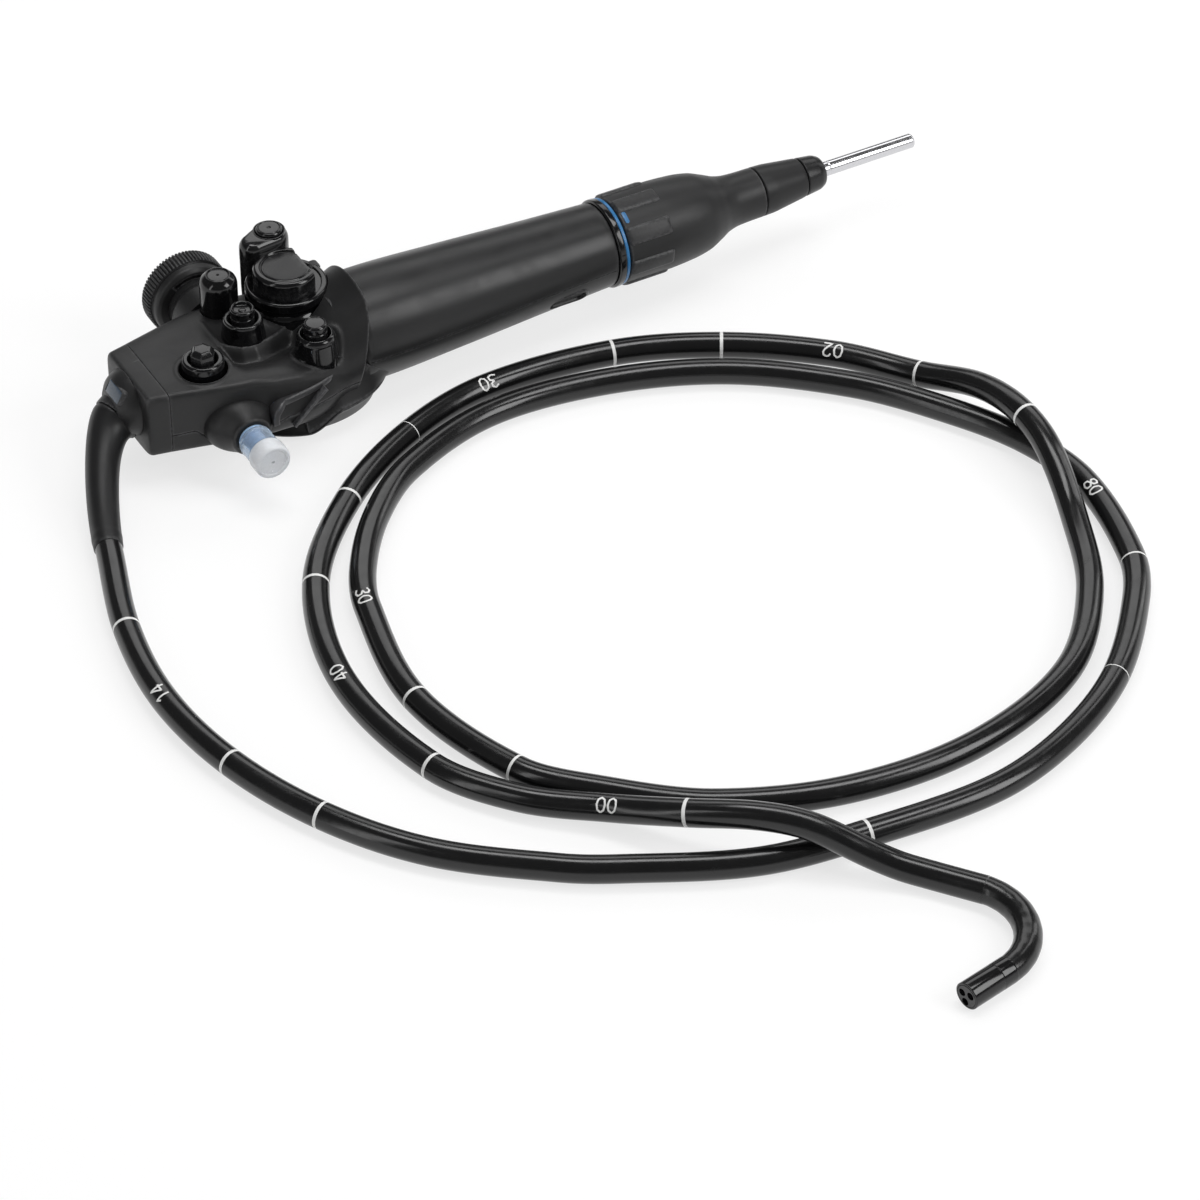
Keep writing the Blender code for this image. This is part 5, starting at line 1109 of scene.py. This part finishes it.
def make_connector():
    """The rings at the grip's end, the lock collar with its mark, the sleeves and the light-guide pin."""
    at = (0, 0, 0)
    fix(turned("rim_band", [(7.8, 193.7), (16.4, 193.7), (17.1, 194.2, 0.3), (17.15, 196.0, 0.3),
                            (16.9, 196.35), (7.8, 196.35)],
               GLOSS, at, "x", 160, True, 0.2), "handle", "gloss", "rim_ring")
    fix(turned("index_band", [(7.8, 196.4), (16.75, 196.4), (16.95, 196.55, 0.1), (16.95, 197.55, 0.15),
                              (16.6, 197.85), (7.8, 197.85)],
               BLUE, at, "x", 160, True, 0.2), "handle", "blue", "index_ring")
    start = 198.1
    xs = (0, 1.0, 19, 30, 37, 43, 47.5, 52, 57, 63.3)
    radii = (16.3, 16.9, 17.0, 16.4, 15.3, 13.0, 11.0, 10.0, 9.7, 9.6)
    profile = [(7.8, start + 0.1), (15.6, start + 0.1), (16.3, start + 0.25)]
    profile += [(float(smooth(xs, radii, x)), start + float(x)) for x in np.linspace(0.7, 63.0, 90)]
    profile += [(9.3, start + 63.2), (7.8, start + 63.2)]
    fix(turned("collar_skin", profile, SHELL, at, "x", 160, True, 0), "collar", "shell", "lock_collar")
    half, shift = math.pi / 8 * 0.52, math.radians(9)
    angles = np.linspace(-half, half, 17)
    rings = []
    for x, r in ((0.0, 16.2), (0.25, 17.2), (0.7, 17.6), (1.3, 17.7), (16.6, 17.7), (17.3, 17.55),
                 (17.9, 17.1), (18.3, 16.2)):
        soft = r - 0.75 * ease(np.abs(angles), half * 0.8, half) * (r > 16.5)
        outer = [(v * math.cos(a + shift) - 16.0, v * math.sin(a + shift), x) for v, a in zip(soft, angles)]
        inner = [(15.9 * math.cos(a + shift) - 16.0, 15.9 * math.sin(a + shift), x) for a in angles[::-1]]
        rings += outer + inner
    sides = 2 * len(angles)
    faces = bands(8, sides) + wall_end(0, sides) + wall_end(7 * sides, sides)
    pads = ring_of_ribs("collar_pads", loose(rings, faces), 8, 16.0, (start + 0.6, 0, 0),
                        (math.pi / 2, 0, math.pi / 2), SHELL)
    fix(pads, "collar", "shell")
    out, across = radial(118)
    rings = [[np.array((start + 2.4 + u, 0, 0)) + out * (r - v * v / 34) + across * v
              for u, v in pill((0, -1.7), (0, 1.7), w, w, 12)]
             for w, r in ((0.8, 16.5), (0.8, 17.08), (0.6, 17.14))]
    fix(loft("collar_dot", rings, BLUE), "collar", "blue", "collar_mark")
    one = start + 63.6
    fix(turned("sleeve_middle", [(3.2, one), (9.2, one), (9.6, one + 0.4, 0.3), (9.45, one + 5.0, 1.0),
                                 (7.8, one + 17.8, 1.5), (7.6, 280.5, 0.4), (7.1, 281.0),
                                 (3.2, 281.0)], RUBBER, at, "x", 128, True, 0.2),
        "handle", "rubber", "middle_sleeve")
    fix(turned("sleeve_end", [(3.2, 281.2), (7.2, 281.2), (7.5, 281.6, 0.2), (6.8, 287.6, 0.8),
                              (5.8, 289.7, 0.7), (4.6, 290.5, 0.3), (3.2, 290.5)],
               SATIN, at, "x", 128, True, 0.2), "handle", "rubber", "end_sleeve")
    fix(turned("pin_skin", [(1.5, 184), (2.85, 184), (2.85, 293.0, 0.1), (2.75, 293.3, 0.1),
                            (2.85, 293.6, 0.1), (2.85, 330.4, 0.3), (2.4, 331.0, 0.2), (1.7, 331.0, 0.1),
                            (1.5, 330.6)], STEEL, at, "x", 96, True, 0.1), "handle", "steel", "light_pin")
    fix(turned("pin_glass", [(1.52, 324.6), (1.52, 330.4, 0.2), (0.3, 330.6)], GLASS, at, "x", 48), "handle",
        "glass", "pin_window")


def keep_nodes():
    """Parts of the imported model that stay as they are, mostly out of sight, with a better surface."""
    for name, material in (("chassis_plate", INNER), ("control_board", BOARD), ("cable_drum", INNER),
                           ("channel_pipe", STEEL), ("core_tube", INNER), ("wheel_shaft", STEEL)):
        mesh = frame["nodes"][name].data
        mesh.materials.clear()
        mesh.materials.append(material)


# Floor and light.

def make_studio():
    """Floor, world and lamps: white to the camera and in reflections, with plain light on the object."""
    shown_floor, floor_glow = 0.27, 0.72
    around, mirrored_above = 0.34, 0.12
    half, low = 6, -0.0002
    mesh = bpy.data.meshes.new("floor")
    mesh.from_pydata([(-half, -half, low), (half, -half, low), (half, half, low), (-half, half, low)], [],
                     [(0, 1, 2, 3)])
    floor = bpy.data.objects.new("floor", mesh)
    bpy.context.scene.collection.objects.link(floor)
    made = bpy.data.materials.new("floor_white")
    made.use_nodes = True
    tree = made.node_tree
    shader = tree.nodes["Principled BSDF"]
    tone = spread(tree, noise(tree, millimetres(tree), 0.01, 3.0), 0.3, 0.7, 0.0, 1.0)
    light = node(tree, "ShaderNodeLightPath").outputs
    shown = math_node(tree, "MAXIMUM", light["Is Camera Ray"], math_node(
        tree, "MAXIMUM", light["Is Glossy Ray"], light["Is Transmission Ray"]))
    plain = mix(tree, tone, (0.90, 0.90, 0.90, 1.0), (0.915, 0.915, 0.912, 1.0))
    tree.links.new(mix(tree, shown, plain, (shown_floor, shown_floor, shown_floor, 1.0)),
                   shader.inputs["Base Color"])
    shader.inputs["Emission Color"].default_value = (1.0, 1.0, 1.0, 1.0)
    tree.links.new(math_node(tree, "MULTIPLY", shown, floor_glow), shader.inputs["Emission Strength"])
    shader.inputs["Roughness"].default_value = 0.75
    shader.inputs["Specular IOR Level"].default_value = 0.0
    mesh.materials.append(made)
    sky = bpy.data.worlds.new("studio")
    bpy.context.scene.world = sky
    sky.use_nodes = True
    tree = sky.node_tree
    back = tree.nodes["Background"]
    light = node(tree, "ShaderNodeLightPath").outputs
    shown = math_node(tree, "MAXIMUM", light["Is Glossy Ray"], light["Is Transmission Ray"])
    direction = node(tree, "ShaderNodeTexCoord").outputs["Generated"]
    high = node(tree, "ShaderNodeSeparateXYZ", {0: direction}).outputs[2]
    faded = spread(tree, high, 0.02, 0.22, 1.0, mirrored_above)
    strength = math_node(tree, "MAXIMUM", light["Is Camera Ray"], math_node(
        tree, "MULTIPLY_ADD", shown, math_node(tree, "SUBTRACT", faded, around), around))
    tree.links.new(strength, back.inputs["Strength"])
    back.inputs["Color"].default_value = (1.0, 1.0, 1.0, 1.0)
    centre = Vector((0.0, -0.16, 0.0))
    for name, place, size, energy in (
            ("overhead", (0.25, 0.2, 1.75), (1.5, 0.5), 14.0), ("left", (-1.7, -0.3, 0.9), (0.3, 1.6), 4.0),
            ("right", (1.6, 0.3, 1.0), (0.3, 1.4), 3.0), ("front", (1.0, -1.24, 1.2), (0.8, 1.1), 16.0),
            ("back", (0.75, 1.35, 1.25), (1.8, 0.7), 7.0)):
        data = bpy.data.lights.new(name, "AREA")
        data.shape = "RECTANGLE"
        data.size, data.size_y = size
        data.energy = energy
        lamp = bpy.data.objects.new(name, data)
        bpy.context.scene.collection.objects.link(lamp)
        lamp.location = centre + Vector(place)
        lamp.rotation_euler = Vector(place).to_track_quat("Z", "Y").to_euler()


make_camera()
tube = make_tube()
camera_way = np.array(bpy.context.scene.camera.matrix_world.to_3x3() @ Vector((0, 0, 1)))
numbers = [make_number(k, at, text, flip, camera_way) for k, (at, text, flip) in enumerate(NUMBERS)]
tip_pieces = make_bending_end()
stops = np.linspace(0, WALKED[-1], 500)
world(frames_at(stops)[0])
make_head()
make_gland()
make_buttons()
make_valve()
make_wheel()
make_port()
make_foot()
make_bracket()
make_grip()
make_connector()
keep_nodes()
make_studio()
